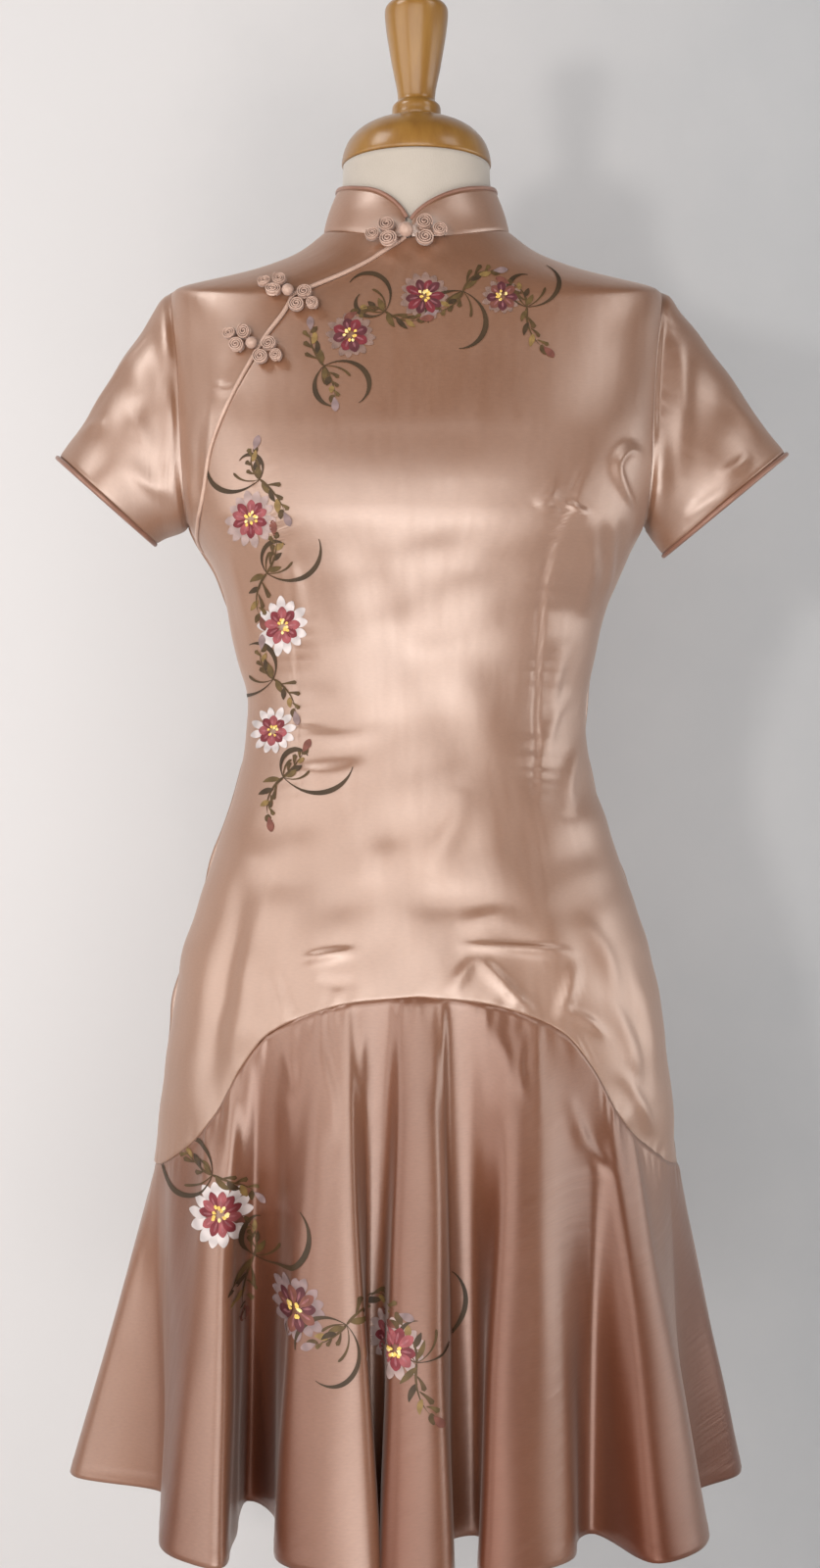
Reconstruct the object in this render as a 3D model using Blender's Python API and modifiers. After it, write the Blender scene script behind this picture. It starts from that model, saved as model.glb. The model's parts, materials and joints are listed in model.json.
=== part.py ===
"""A short-sleeved cheongsam with an arched yoke and a full flounce, on a limbless dress form.

Metres, +Z up. The origin is the middle of the base's underside, on the floor.
The dress faces -Y, and the wearer's left is +X.

Every piece of cloth is an open surface worked out from the tables below, with Solidify for its
thickness. A place on the torso is given by its turn, the angle from the front towards the
wearer's left, and by its level, the height of its ring at the side of the body.
"""
import math
from collections import namedtuple

import bpy
import bmesh
import numpy as np
from mathutils import Matrix, Vector

# ---------------------------------------------------------------- sizes

CLOTH = 0.0011            # the cloth with its seam allowances, as one wall
COLLAR_CLOTH = 0.0014     # the collar is interfaced
SEAM_GAP = 0.0004         # between two pieces along a seam
YOKE_GAP = 0.0013         # straight down, where that seam is steep
UNDERLAP_DEPTH = 0.0026   # the underlap's outer face lies this far under the front's

WAIST = 1.022
UNDERARM = 1.172
SHOULDER_TIP = 1.3525
NECK_POINT = 1.398
HEM_HEIGHT = 0.430
HEM_RISE = 0.006          # at both sides

# The dress's own outer shape: level, half width, depth of the front and of the back, how far the
# ring's front and back are above its side, and how square the ring is.
RINGS = np.array([
    (0.665, 0.2040, 0.130, 0.128, 0.0000, 0.0000, 2.00),    # below the side of the yoke seam
    (0.740, 0.1970, 0.127, 0.127, 0.0000, 0.0000, 2.05),
    (0.820, 0.1858, 0.120, 0.122, 0.0000, 0.0000, 2.10),    # hip
    (0.900, 0.1630, 0.106, 0.110, 0.0000, 0.0000, 2.15),
    (0.960, 0.1435, 0.095, 0.093, 0.0000, 0.0000, 2.15),
    (1.022, 0.1312, 0.086, 0.077, 0.0000, 0.0000, 2.20),    # waist
    (1.085, 0.1410, 0.096, 0.080, 0.0000, 0.0000, 2.30),
    (1.130, 0.1540, 0.112, 0.088, 0.0000, 0.0000, 2.40),
    (1.172, 0.1770, 0.124, 0.096, 0.0000, 0.0000, 2.50),    # underarm and bust
    (1.230, 0.1870, 0.115, 0.101, 0.0000, 0.0000, 2.70),
    (1.300, 0.1890, 0.096, 0.103, -0.0080, -0.0030, 2.90),
    (1.3525, 0.1900, 0.083, 0.088, -0.0245, -0.0145, 3.00),  # shoulder tip
    (1.3545, 0.1825, 0.082, 0.087, -0.0240, -0.0135, 3.00),
    (1.369, 0.1260, 0.075, 0.078, -0.0200, -0.0050, 2.60),
    (1.382, 0.0940, 0.069, 0.070, -0.0180, 0.0040, 2.30),
    (1.398, 0.0725, 0.064, 0.062, -0.0170, 0.0100, 2.05),   # neck point
])

# The seam between the bodice and the flounce, as turn in degrees and height: flat over the
# middle, steep beside it.
YOKE_SEAM = np.array([
    (0, 0.8155), (14, 0.811), (25, 0.801), (34, 0.787), (41, 0.762), (49, 0.723), (58, 0.699),
    (74, 0.680), (90, 0.675),
])

# The slanted opening, from the wearer's right side to the neck, as level and turn in degrees.
OPENING = np.array([
    (1.148, -89), (1.165, -65), (1.187, -55), (1.219, -48.5), (1.247, -43), (1.280, -37),
    (1.311, -32), (1.335, -28.5), (1.359, -25.5), (1.3825, -17), (1.398, -5),
])
OVERLAP = math.radians(10)     # how far the underlap reaches under the front
UNDERLAP_BOTTOM = 1.120
UNDERLAP_END = math.radians(6)  # where it stops, past the middle of the neck

ARMHOLE_REACH = math.radians(25)   # how far the armhole cuts into the front and the back
ARMHOLE_FULLNESS = 2.4

# A fold of the flounce is where it leaves the seam, where it ends at the hem, and how broad.
Fold = namedtuple("Fold", "kind seam_turn azimuth reach half_width")
FOLDS = (
    Fold("ridge", -90, -90, 0.269, 0.022),
    Fold("valley", -77, -72, 0.200, 0.008),
    Fold("ridge", -50, -41, 0.2500, 0.030),
    Fold("valley", -35, -53, 0.144, 0.018),
    Fold("ridge", -20, -17, 0.2195, 0.036),
    Fold("valley", -9, -12.5, 0.143, 0.005),
    Fold("ridge", 0, 0, 0.220, 0.022),
    Fold("valley", 9.5, 14.4, 0.1405, 0.009),
    Fold("ridge", 26, 21.3, 0.220, 0.034),
    Fold("valley", 40, 40.8, 0.185, 0.006),
    Fold("ridge", 52, 48, 0.262, 0.034),
    Fold("valley", 72, 71, 0.212, 0.012),
    Fold("ridge", 90, 90, 0.254, 0.018),
    Fold("valley", 104, 106, 0.200, 0.012),
    Fold("ridge", 117, 123, 0.258, 0.030),
    Fold("valley", 132, 138, 0.175, 0.012),
    Fold("ridge", 144, 152, 0.235, 0.032),
    Fold("valley", 160, 167, 0.160, 0.010),
    Fold("ridge", 178, 180, 0.240, 0.028),
    Fold("valley", 196, 194, 0.158, 0.010),
    Fold("ridge", 212, 209, 0.238, 0.034),
    Fold("valley", 229, 223, 0.172, 0.012),
    Fold("ridge", 242, 238, 0.260, 0.030),
    Fold("valley", 256, 255, 0.200, 0.012),
)

RIDGE_HALF_TURN = math.radians(3.0)    # of the seam that goes into a ridge
VALLEY_HALF_TURN = math.radians(1.5)
RIDGE_ROUNDING = 0.30      # how far a ridge's shoulders lie back, as a share of its half width

FRONT_COLUMNS = 19         # of points across each bodice panel
BACK_COLUMNS = 17
UNDERLAP_COLUMNS = 7
FRONT_SKIRT_ROWS = 13      # from the side of the yoke seam to the underarm
BACK_SKIRT_ROWS = 12
ARMHOLE_ROWS = 8
SHOULDER_ROWS = 4
UNDER_OPENING_LEVELS = (1.148, 1.152, 1.157, 1.162, 1.167)    # extra rows by the opening's end
COLLAR_COLUMNS = 35
COLLAR_ROWS = 4
SLEEVE_ROWS = 7
FLOUNCE_ROWS = 7
FLOUNCE_PER_COLUMN = 3     # columns of the flounce to one of the bodice

# A sleeve's cuff, seen from the front: its outer and its underarm corner, and its half depth.
Cuff = namedtuple("Cuff", "name side outer_x outer_z inner_x inner_z half_depth")
CUFFS = (
    Cuff("right", -1, 0.279, 1.225, 0.2035, 1.158, 0.050),
    Cuff("left", 1, 0.288, 1.228, 0.1925, 1.149, 0.040),
)
CUFF_CORNER = 1.7        # under 2, so that the pressed sleeve has a corner at each end of its cuff
SLEEVE_LEAVE = (0.76, -0.65)    # outwards and up, the way that a sleeve leaves its armhole
SLEEVE_START_PULL = 0.25        # as shares of the sleeve's length
SLEEVE_END_PULL = 0.33
PIPING = 0.0016
CUFF_PIPING = 0.0019

COLLAR_TOP = (0.0625, 0.0630, 0.0600)    # half width, front and back depth of the collar's top edge
COLLAR_TOP_HEIGHT = (1.4295, 1.4145, 1.4380)   # at the side, the front and the back
COLLAR_CENTRE = math.radians(-5)
WING_RIGHT = math.radians(33)            # how far round each rounded end of the collar reaches
WING_LEFT = math.radians(46)
WING_LEAST = 0.10                        # of the collar's height, at the tip of each end
WING_APART = math.radians(4)             # from the middle of the opening to each end

# A frog is two three-lobed knots and a ball, at a place on the front, with the ball's x and z.
# Its height is its middle's, over the cloth: clear of the piping, or of the collar, under it.
Frog = namedtuple("Frog", "name x z slope spread coil ball height")
FROGS = (
    Frog("neck", -0.0075, 1.3800, 4, 0.0165, 0.0066, 0.0056, 0.0100),
    Frog("chest", -0.0950, 1.3330, -28, 0.0135, 0.0058, 0.0044, 0.0058),
    Frog("side", -0.1200, 1.2935, -30, 0.0135, 0.0058, 0.0044, 0.0058),
)
FROG_THICKNESS = 0.0042
COIL_SPACING = 1.13       # a coil's middle from the knot's middle, in coil radii
POINTS_PER_LOBE = 7
BALL_LIFT = 0.0018

# The dress form's body is the dress's shape, let in at each level by this much.
FORM_INSET = np.array([
    (0.665, 0.0220), (0.740, 0.0160), (0.820, 0.0070), (0.960, 0.0060), (1.022, 0.0050),
    (1.085, 0.0065), (1.130, 0.0085), (1.172, 0.0085), (1.230, 0.0078), (1.300, 0.0080),
    (1.330, 0.0088), (1.3525, 0.0080), (1.376, 0.0060), (1.398, 0.0050),
])
FORM_LEVELS = (
    0.740, 0.780, 0.820, 0.860, 0.900, 0.940, 0.980, 1.022, 1.060, 1.100, 1.135, 1.172, 1.200,
    1.230, 1.265, 1.300, 1.328, 1.3525, 1.360, 1.369, 1.382, 1.390, 1.398,
)
FORM_COLUMNS = 28
FORM_BOTTOM = 0.700
FORM_BOTTOM_EDGE = 0.93   # the flat underside's size beside the body over its rounded edge
FORM_BOTTOM_ROUND = 0.008
# Height, half width, and depth of the front and of the back.
FORM_NECK = np.array([
    (1.4120, 0.0620, 0.0580, 0.0565),
    (1.4260, 0.0588, 0.0572, 0.0562),
    (1.4400, 0.0575, 0.0568, 0.0565),
    (1.4505, 0.0572, 0.0570, 0.0570),
])

# Turned profiles, as radius and height, from the top down the outside.
CAP_PROFILE = (
    (0.0000, 1.4880), (0.0180, 1.4880), (0.0330, 1.4844), (0.0450, 1.4780), (0.0533, 1.4692),
    (0.0571, 1.4603), (0.0583, 1.4520), (0.0560, 1.4508), (0.0000, 1.4508),
)
FINIAL_PROFILE = (
    (0.0000, 1.5835), (0.0100, 1.5828), (0.0185, 1.5800), (0.0238, 1.5755), (0.0248, 1.5700),
    (0.0232, 1.5550), (0.0190, 1.5300), (0.0154, 1.5125), (0.0145, 1.5050), (0.0150, 1.5020),
    (0.0184, 1.4985), (0.0190, 1.4935), (0.0184, 1.4883), (0.0000, 1.4883),
)
BASE_RADIUS = 0.185
BASE_PROFILE = (
    (0.0000, 0.0520), (0.0260, 0.0520), (0.0320, 0.0480), (0.0360, 0.0400), (0.0700, 0.0345),
    (0.1450, 0.0290), (0.1700, 0.0240), (0.1800, 0.0180), (BASE_RADIUS, 0.0080),
    (BASE_RADIUS, 0.0000), (0.0000, 0.0000),
)
POLE_RADIUS = 0.0160
POLE_SIDES = 20
TOUCH_GAP = 0.0003        # between the pole and what it stands between
TURNING_STEPS = 28
FINIAL_STEPS = 20


# ---------------------------------------------------------------- curves and surfaces

def hermite(knots, values, slopes):
    """A cubic function through the values at the knots, held flat beyond both ends."""
    def at(place):
        place = np.clip(np.asarray(place, float), knots[0], knots[-1])
        i = np.clip(np.searchsorted(knots, place, side="right") - 1, 0, len(knots) - 2)
        width = knots[i + 1] - knots[i]
        s = (place - knots[i]) / width
        if values.ndim == 2:
            width = width[..., None]
            s = s[..., None]
        start = (1 + 2 * s) * (1 - s) ** 2 * values[i] + s * (1 - s) ** 2 * width * slopes[i]
        end = s * s * (3 - 2 * s) * values[i + 1] + s * s * (s - 1) * width * slopes[i + 1]
        return start + end
    return at


def round_curve(knots, values):
    """A smooth function that may swing past its values, for a line that winds."""
    return hermite(knots, values, np.gradient(values, knots, axis=0))


def table_curve(table):
    """A smooth function of a table's first column that never swings past the table's values."""
    knots, values = table[:, 0], table[:, 1:]
    steps = np.diff(values, axis=0) / np.diff(knots)[:, None]
    before, after = steps[:-1], steps[1:]
    same_way = before * after > 0
    total = np.where(same_way, before + after, 1.0)
    inner = np.where(same_way, 2 * before * after / total, 0.0)
    return hermite(knots, values, np.concatenate([steps[:1], inner, steps[-1:]]))


ring_at = table_curve(RINGS)
seam_curve = table_curve(YOKE_SEAM)
opening_curve = table_curve(OPENING)
inset_curve = table_curve(FORM_INSET)


def opening_turn(level):
    return np.radians(opening_curve(level)[..., 0])


def form_inset(level):
    return float(inset_curve(level)[..., 0])


def torso(turn, level):
    """The dress's outer surface, as an array of points."""
    turn, level = np.broadcast_arrays(np.asarray(turn, float), np.asarray(level, float))
    half_width, front, back, front_rise, back_rise, square = np.moveaxis(ring_at(level), -1, 0)
    sine, cosine = np.sin(turn), np.cos(turn)
    reach = (np.abs(sine) ** square + np.abs(cosine) ** square) ** (-1 / square)
    depth = np.where(cosine > 0, front, back)
    rise = np.where(cosine > 0, front_rise, back_rise)
    x = half_width * sine * reach
    y = -depth * cosine * reach
    z = level + rise * cosine ** 2
    return np.stack([x, y, z], axis=-1)


def outward(turn, level, step=0.002):
    """The torso surface's unit normal."""
    along = torso(turn + step, level) - torso(turn - step, level)
    top = np.minimum(level + step, NECK_POINT)
    bottom = np.maximum(top - 2 * step, RINGS[0, 0])
    up = torso(turn, top) - torso(turn, bottom)
    normal = np.cross(along, up)
    return normal / np.linalg.norm(normal, axis=-1, keepdims=True)


def over_torso(turn, level, height):
    return torso(turn, level) + outward(turn, level) * height


def directions(points):
    """The unit direction of a line at each of its points, halfway between its two segments."""
    segments = np.diff(points, axis=0)
    segments /= np.linalg.norm(segments, axis=1, keepdims=True)
    middle = segments[:-1] + segments[1:]
    middle /= np.linalg.norm(middle, axis=1, keepdims=True)
    return np.concatenate([segments[:1], middle, segments[-1:]])


def find_on_front(x, z):
    """The turn and level of the torso's front where its x and z are these."""
    turn, level = math.asin(x / 0.2), z
    step = 1e-4
    for _ in range(20):
        here = torso(turn, level)
        by_turn = (torso(turn + step, level) - here)[[0, 2]] / step
        by_level = (torso(turn, level + step) - here)[[0, 2]] / step
        change = np.linalg.solve(np.column_stack([by_turn, by_level]), [x - here[0], z - here[2]])
        turn += float(np.clip(change[0], -0.2, 0.2))
        level += float(np.clip(change[1], -0.02, 0.02))
    return turn, level


def side_turn(level):
    """The turn at which a panel stops, half a seam gap short of the side or shoulder seam."""
    front = ring_at(level)[..., 1]
    return math.pi / 2 - SEAM_GAP * 0.75 / front


def armhole_gap(level):
    """How far short of the side a panel stops along the armhole."""
    middle = (UNDERARM + SHOULDER_TIP) / 2
    share = np.clip(np.abs(level - middle) / (SHOULDER_TIP - middle), 0, 1)
    return ARMHOLE_REACH * (1 - share ** ARMHOLE_FULLNESS) ** (1 / ARMHOLE_FULLNESS)


def panel_edge(level):
    """The turn where the front's plain edge runs: side seam, armhole and shoulder seam."""
    return side_turn(level) - armhole_gap(level)


def armhole_levels():
    """Levels up the armhole, close together where it turns sharply at both ends."""
    sweep = np.linspace(-math.pi / 2, math.pi / 2, ARMHOLE_ROWS + 1)
    middle = (UNDERARM + SHOULDER_TIP) / 2
    return middle + (SHOULDER_TIP - middle) * np.sin(sweep)


def panel_levels(skirt_rows, extra=()):
    """Levels from the side of the yoke seam to the neck."""
    skirt = np.linspace(YOKE_SEAM[-1, 1], UNDERARM, skirt_rows + 1)[:-1]
    shoulder = np.linspace(SHOULDER_TIP, NECK_POINT, SHOULDER_ROWS + 1)[1:]
    return np.unique(np.concatenate([skirt, extra, armhole_levels(), shoulder]))


# ---------------------------------------------------------------- the flounce's hem

def fold_points():
    """Turn at the seam and place at the hem of two or three points for each fold."""
    turns, places = [], []
    for fold in FOLDS:
        azimuth = math.radians(fold.azimuth)
        out = np.array([math.sin(azimuth), -math.cos(azimuth)])
        along = np.array([math.cos(azimuth), math.sin(azimuth)])
        middle = out * fold.reach
        seam_turn = math.radians(fold.seam_turn)
        if fold.kind == "ridge":
            shares, half_turn, back = (-1, 0, 1), RIDGE_HALF_TURN, RIDGE_ROUNDING * fold.half_width
        else:
            shares, half_turn, back = (-1, 1), VALLEY_HALF_TURN, 0.0
        for share in shares:
            turns.append(seam_turn + share * half_turn)
            places.append(middle + along * fold.half_width * share - out * back * abs(share))
    return np.array(turns), np.array(places)


def hem_curve():
    """Functions of a share of the way round, from the wearer's right side seam and forward."""
    turns, places = fold_points()
    turns = np.roll(turns, -1)
    places = np.roll(places, -1, axis=0)
    turns[-1] += 2 * math.pi
    steps = np.linalg.norm(np.diff(places, axis=0, append=places[:1]), axis=1) ** 0.5
    knots = np.concatenate([[0], np.cumsum(steps)])
    knots /= knots[-1]
    values = np.column_stack([turns, places])
    again = values + [2 * math.pi, 0, 0]
    before = values - [2 * math.pi, 0, 0]
    full_knots = np.concatenate([knots[:-1] - 1, knots[:-1], knots[:-1] + 1])
    full_values = np.concatenate([before, values, again])
    return round_curve(full_knots, full_values)


# ---------------------------------------------------------------- scene helpers

def new_material(name, colour, roughness, metallic=0.0):
    material = bpy.data.materials.new(name)
    material.use_nodes = True
    shader = material.node_tree.nodes["Principled BSDF"]
    shader.inputs["Base Color"].default_value = (*colour, 1.0)
    shader.inputs["Roughness"].default_value = roughness
    shader.inputs["Metallic"].default_value = metallic
    return material


def place(collection, obj, material):
    obj.data.materials.append(material)
    collection.objects.link(obj)
    return obj


def mesh_object(name, vertices, faces):
    mesh = bpy.data.meshes.new(name)
    mesh.from_pydata([tuple(map(float, v)) for v in vertices], [], faces)
    mesh.shade_smooth()
    return bpy.data.objects.new(name, mesh)


def grid_faces(rows, columns, closed=False):
    faces = []
    for i in range(rows - 1):
        for j in range(columns if closed else columns - 1):
            k = (j + 1) % columns
            low, high = i * columns, (i + 1) * columns
            faces.append((low + j, low + k, high + k, high + j))
    return faces


def cloth(name, grid, thickness=CLOTH, closed=False):
    """A wall of cloth whose outer face is the grid of points, rows going up, columns going left."""
    rows, columns, _ = grid.shape
    obj = mesh_object(name, grid.reshape(-1, 3), grid_faces(rows, columns, closed))
    wall = obj.modifiers.new("Cloth thickness", "SOLIDIFY")
    wall.thickness = thickness
    wall.offset = -1
    return obj


def tube(name, points, radius, cyclic=False):
    curve = bpy.data.curves.new(name, "CURVE")
    curve.dimensions = "3D"
    curve.bevel_depth = radius
    curve.bevel_resolution = 1
    curve.use_fill_caps = True
    line = curve.splines.new("POLY")
    line.points.add(len(points) - 1)
    for target, point in zip(line.points, points):
        target.co = (*map(float, point), 1.0)
    line.use_cyclic_u = cyclic
    return bpy.data.objects.new(name, curve)


def turned(name, profile, steps=TURNING_STEPS):
    mesh = bpy.data.meshes.new(name)
    vertices = [(radius, 0.0, height) for radius, height in profile]
    mesh.from_pydata(vertices, [(i, i + 1) for i in range(len(vertices) - 1)], [])
    obj = bpy.data.objects.new(name, mesh)
    screw = obj.modifiers.new("Turning", "SCREW")
    screw.axis = "Z"
    screw.steps = steps
    screw.render_steps = steps
    screw.use_merge_vertices = True
    screw.merge_threshold = 0.00005
    return obj


# ---------------------------------------------------------------- the bodice

def rows_to_grid(levels, left, right, columns, height=0.0, seam_bottom=False):
    """Points of a panel whose edges are functions of level, its lowest rows following the seam."""
    shares = np.linspace(0, 1, columns)
    rows = []
    for level in levels:
        turns = left(level) + (right(level) - left(level)) * shares
        heights = np.full(columns, level)
        if seam_bottom and level < WAIST:
            seam = yoke(turns)
            heights = seam + (WAIST - seam) * (level - levels[0]) / (WAIST - levels[0])
        rows.append(over_torso(turns, heights, height))
    return np.array(rows)


def yoke(turn):
    """The height of the yoke seam, the same at the back as at the front."""
    turn = np.abs((np.asarray(turn) + math.pi) % (2 * math.pi) - math.pi)
    return seam_curve(np.degrees(np.minimum(turn, math.pi - turn)))[..., 0]


def front_left_edge(level):
    """The wearer's right edge of the front: the side seam, then the slanted opening."""
    if level <= OPENING[0, 0]:
        return -side_turn(level)
    return max(float(opening_turn(level)), -float(side_turn(level)))


def make_front():
    levels = panel_levels(FRONT_SKIRT_ROWS, UNDER_OPENING_LEVELS)
    grid = rows_to_grid(levels, front_left_edge, panel_edge, FRONT_COLUMNS, seam_bottom=True)
    turns = np.linspace(front_left_edge(levels[0]), panel_edge(levels[0]), FRONT_COLUMNS)
    return cloth("front_bodice", grid), make_flounce("flounce_front", grid[0], turns)


def make_underlap():
    levels = panel_levels(FRONT_SKIRT_ROWS, UNDER_OPENING_LEVELS)
    levels = levels[levels > UNDERLAP_BOTTOM]

    def left(level):
        return -panel_edge(level)

    def right(level):
        return min(front_left_edge(level) + OVERLAP, UNDERLAP_END)
    grid = rows_to_grid(levels, left, right, UNDERLAP_COLUMNS, height=-UNDERLAP_DEPTH)
    return cloth("front_underlap", grid)


def make_back():
    levels = panel_levels(BACK_SKIRT_ROWS)

    def left(level):
        return 2 * math.pi - right(level)

    def right(level):
        return math.pi - panel_edge(level)
    grid = rows_to_grid(levels, right, left, BACK_COLUMNS, seam_bottom=True)
    turns = np.linspace(right(levels[0]), left(levels[0]), BACK_COLUMNS)
    return cloth("back_bodice", grid), make_flounce("flounce_back", grid[0], turns)


# ---------------------------------------------------------------- sleeves

def rounded(angle, fullness):
    """Cosine and sine of an angle on a curve between a lens and a square."""
    cosine, sine = np.cos(angle), np.sin(angle)
    reach = (np.abs(cosine) ** fullness + np.abs(sine) ** fullness) ** (-1 / fullness)
    return cosine * reach, sine * reach


def armhole_loop(side):
    """The sleeve's start, point for point along the panels' armhole edges, and its angles.

    It runs from the underarm up the front to the shoulder and down the back.
    """
    level = armhole_levels()
    gap = armhole_gap(level)
    level = np.concatenate([level, level[-2:0:-1]])
    gap = np.concatenate([gap, -gap[-2:0:-1]])
    middle = (UNDERARM + SHOULDER_TIP) / 2
    angles = np.arctan2(gap / ARMHOLE_REACH, (middle - level) / (SHOULDER_TIP - middle))
    points = torso(side * (math.pi / 2 - gap), level)
    return points + [side * 2 * SEAM_GAP, 0, 0], angles


def cuff_loop(cuff, angles, beyond=0.0):
    """Points round the cuff, in the same order, and past its edge by this much."""
    down, forward = rounded(angles, CUFF_CORNER)
    outer = np.array([cuff.side * cuff.outer_x, 0, cuff.outer_z])
    inner = np.array([cuff.side * cuff.inner_x, 0, cuff.inner_z])
    half = (inner - outer) / 2
    middle = (inner + outer) / 2 + cuff_direction(cuff) * beyond
    return middle + half * down[:, None] + np.outer(forward, [0, -cuff.half_depth, 0])


def cuff_direction(cuff):
    """Which way the cuff's opening faces."""
    across = np.array([cuff.outer_x - cuff.inner_x, cuff.outer_z - cuff.inner_z])
    across /= np.linalg.norm(across)
    return np.array([cuff.side * across[1], 0, -across[0]])


def make_sleeve(cuff):
    start, angles = armhole_loop(cuff.side)
    end = cuff_loop(cuff, angles)
    length = np.linalg.norm(end - start, axis=1, keepdims=True)
    leave = np.array([cuff.side * SLEEVE_LEAVE[0], 0, SLEEVE_LEAVE[1]])
    first = start + leave * length * SLEEVE_START_PULL
    second = end - cuff_direction(cuff) * length * SLEEVE_END_PULL
    s = np.linspace(0, 1, SLEEVE_ROWS)[:, None, None]
    near = (1 - s) ** 3 * start + 3 * s * (1 - s) ** 2 * first
    far = 3 * s * s * (1 - s) * second + s ** 3 * end
    grid = near + far
    if cuff.side > 0:
        grid = grid[::-1]
    return cloth(f"sleeve_{cuff.name}", grid, closed=True)


def make_cuff_piping(cuff, points=24):
    angles = np.linspace(0, 2 * math.pi, points, endpoint=False)
    loop = cuff_loop(cuff, angles, beyond=CUFF_PIPING + SEAM_GAP)
    return tube(f"cuff_piping_{cuff.name}", loop, CUFF_PIPING, cyclic=True)


# ---------------------------------------------------------------- collar

def collar_turns(points):
    """From the wearer's left wing round the back to the right wing, closer together at the wings."""
    share = np.linspace(-1, 1, points)
    eased = np.sign(share) * (1 - (1 - np.abs(share)) ** 1.35)
    half = math.pi - WING_APART
    return COLLAR_CENTRE + math.pi + eased * half


def wing(turn):
    """The share of its full height that the collar has at a turn."""
    past = (turn - COLLAR_CENTRE) % (2 * math.pi)
    left = np.clip(past / WING_LEFT, 0, 1)
    right = np.clip((2 * math.pi - past) / WING_RIGHT, 0, 1)
    rise = np.sqrt(1 - (1 - left) ** 2) * np.sqrt(1 - (1 - right) ** 2)
    return WING_LEAST + (1 - WING_LEAST) * rise


def collar_point(turn, share):
    """A point of the collar's outer face, this share of the way from its seam to its full top."""
    base = torso(turn, NECK_POINT) + np.array([0, 0, 1.5 * SEAM_GAP])
    half_width, front, back = COLLAR_TOP
    side, fore, aft = COLLAR_TOP_HEIGHT
    sine, cosine = np.sin(turn), np.cos(turn)
    depth = np.where(cosine > 0, front, back)
    height = side + np.where(cosine > 0, fore - side, aft - side) * cosine ** 2
    top = np.stack([half_width * sine, -depth * cosine, height], axis=-1)
    share = np.asarray(share)[..., None]
    return base + (top - base) * share


def make_collar():
    turns = collar_turns(COLLAR_COLUMNS)
    shares = np.linspace(0, 1, COLLAR_ROWS)
    grid = np.array([collar_point(turns, wing(turns) * share) for share in shares])
    return cloth("collar", grid, COLLAR_CLOTH)


def make_collar_piping():
    turns = collar_turns(COLLAR_COLUMNS)
    edge = collar_point(turns, wing(turns))
    out = edge * [1, 1, 0]
    beyond = np.cross(out, directions(edge))
    beyond /= np.linalg.norm(beyond, axis=1, keepdims=True)
    inward = -out / np.linalg.norm(out, axis=1, keepdims=True) * COLLAR_CLOTH / 2
    return tube("collar_piping", edge + beyond * (PIPING + SEAM_GAP) + inward, PIPING)


def make_opening_piping():
    levels = panel_levels(FRONT_SKIRT_ROWS, UNDER_OPENING_LEVELS)
    levels = levels[(levels > UNDER_OPENING_LEVELS[0]) & (levels < NECK_POINT)][::-1]
    turns = opening_turn(levels)
    edge = over_torso(turns, levels, PIPING - CLOTH / 2)
    beyond = np.cross(outward(turns, levels), directions(edge))
    return tube("opening_piping", edge - beyond * (PIPING + SEAM_GAP), PIPING)


# ---------------------------------------------------------------- flounce

def make_flounce(name, bodice_seam, turns):
    """The flounce under one bodice panel, whose lowest row of points and turns are given.

    Its top runs along that row's own straight steps, so that the two never cross.
    """
    steps = np.linspace(0, len(turns) - 1, (len(turns) - 1) * FLOUNCE_PER_COLUMN + 1)
    whole = np.arange(len(turns))
    top = np.column_stack([np.interp(steps, whole, bodice_seam[:, axis]) for axis in range(3)])
    top -= [0, 0, YOKE_GAP]
    curve = hem_curve()
    shares = np.linspace(0, 1, 4001)
    hem = curve(np.interp(np.interp(steps, whole, turns), curve(shares)[:, 0], shares))[:, 1:]
    sideways = hem[:, 0] / np.linalg.norm(hem, axis=1)
    bottom = np.column_stack([hem, HEM_HEIGHT + HEM_RISE * sideways ** 2])
    shares = np.linspace(1, 0, FLOUNCE_ROWS)[:, None, None]
    return cloth(name, top + (bottom - top) * shares)


# ---------------------------------------------------------------- frogs

def frog_frame(frog, along):
    """A matrix on the front of the dress, its x along the frog, its z out of the cloth."""
    slope = math.radians(frog.slope)
    turn, level = find_on_front(frog.x + along * math.cos(slope), frog.z + along * math.sin(slope))
    point = Vector(over_torso(turn, level, frog.height))
    out = Vector(outward(turn, level))
    across = Vector((math.cos(slope), 0, math.sin(slope)))
    across = (across - out * across.dot(out)).normalized()
    frame = Matrix((across, out.cross(across), out)).transposed().to_4x4()
    frame.translation = point
    return frame


def lobed_outline(coil):
    """The outline of three touching coils, one of them pointing along -X."""
    distance = coil * COIL_SPACING
    outline = []
    for k in range(3 * POINTS_PER_LOBE):
        angle = 2 * math.pi * k / (3 * POINTS_PER_LOBE)
        off = (angle - math.pi + math.pi / 3) % (2 * math.pi / 3) - math.pi / 3
        radius = distance * math.cos(off) + math.sqrt(coil ** 2 - (distance * math.sin(off)) ** 2)
        outline.append((radius * math.cos(angle), radius * math.sin(angle)))
    return outline


def make_lobed_knot(name, frog, side):
    curve = bpy.data.curves.new(name, "CURVE")
    curve.dimensions = "2D"
    curve.fill_mode = "BOTH"
    curve.extrude = FROG_THICKNESS / 2
    line = curve.splines.new("POLY")
    outline = lobed_outline(frog.coil)
    line.points.add(len(outline) - 1)
    for target, (x, y) in zip(line.points, outline):
        target.co = (-side * x, y, 0, 1)
    line.use_cyclic_u = True
    obj = bpy.data.objects.new(name, curve)
    obj.matrix_world = frog_frame(frog, side * frog.spread)
    return obj


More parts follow.
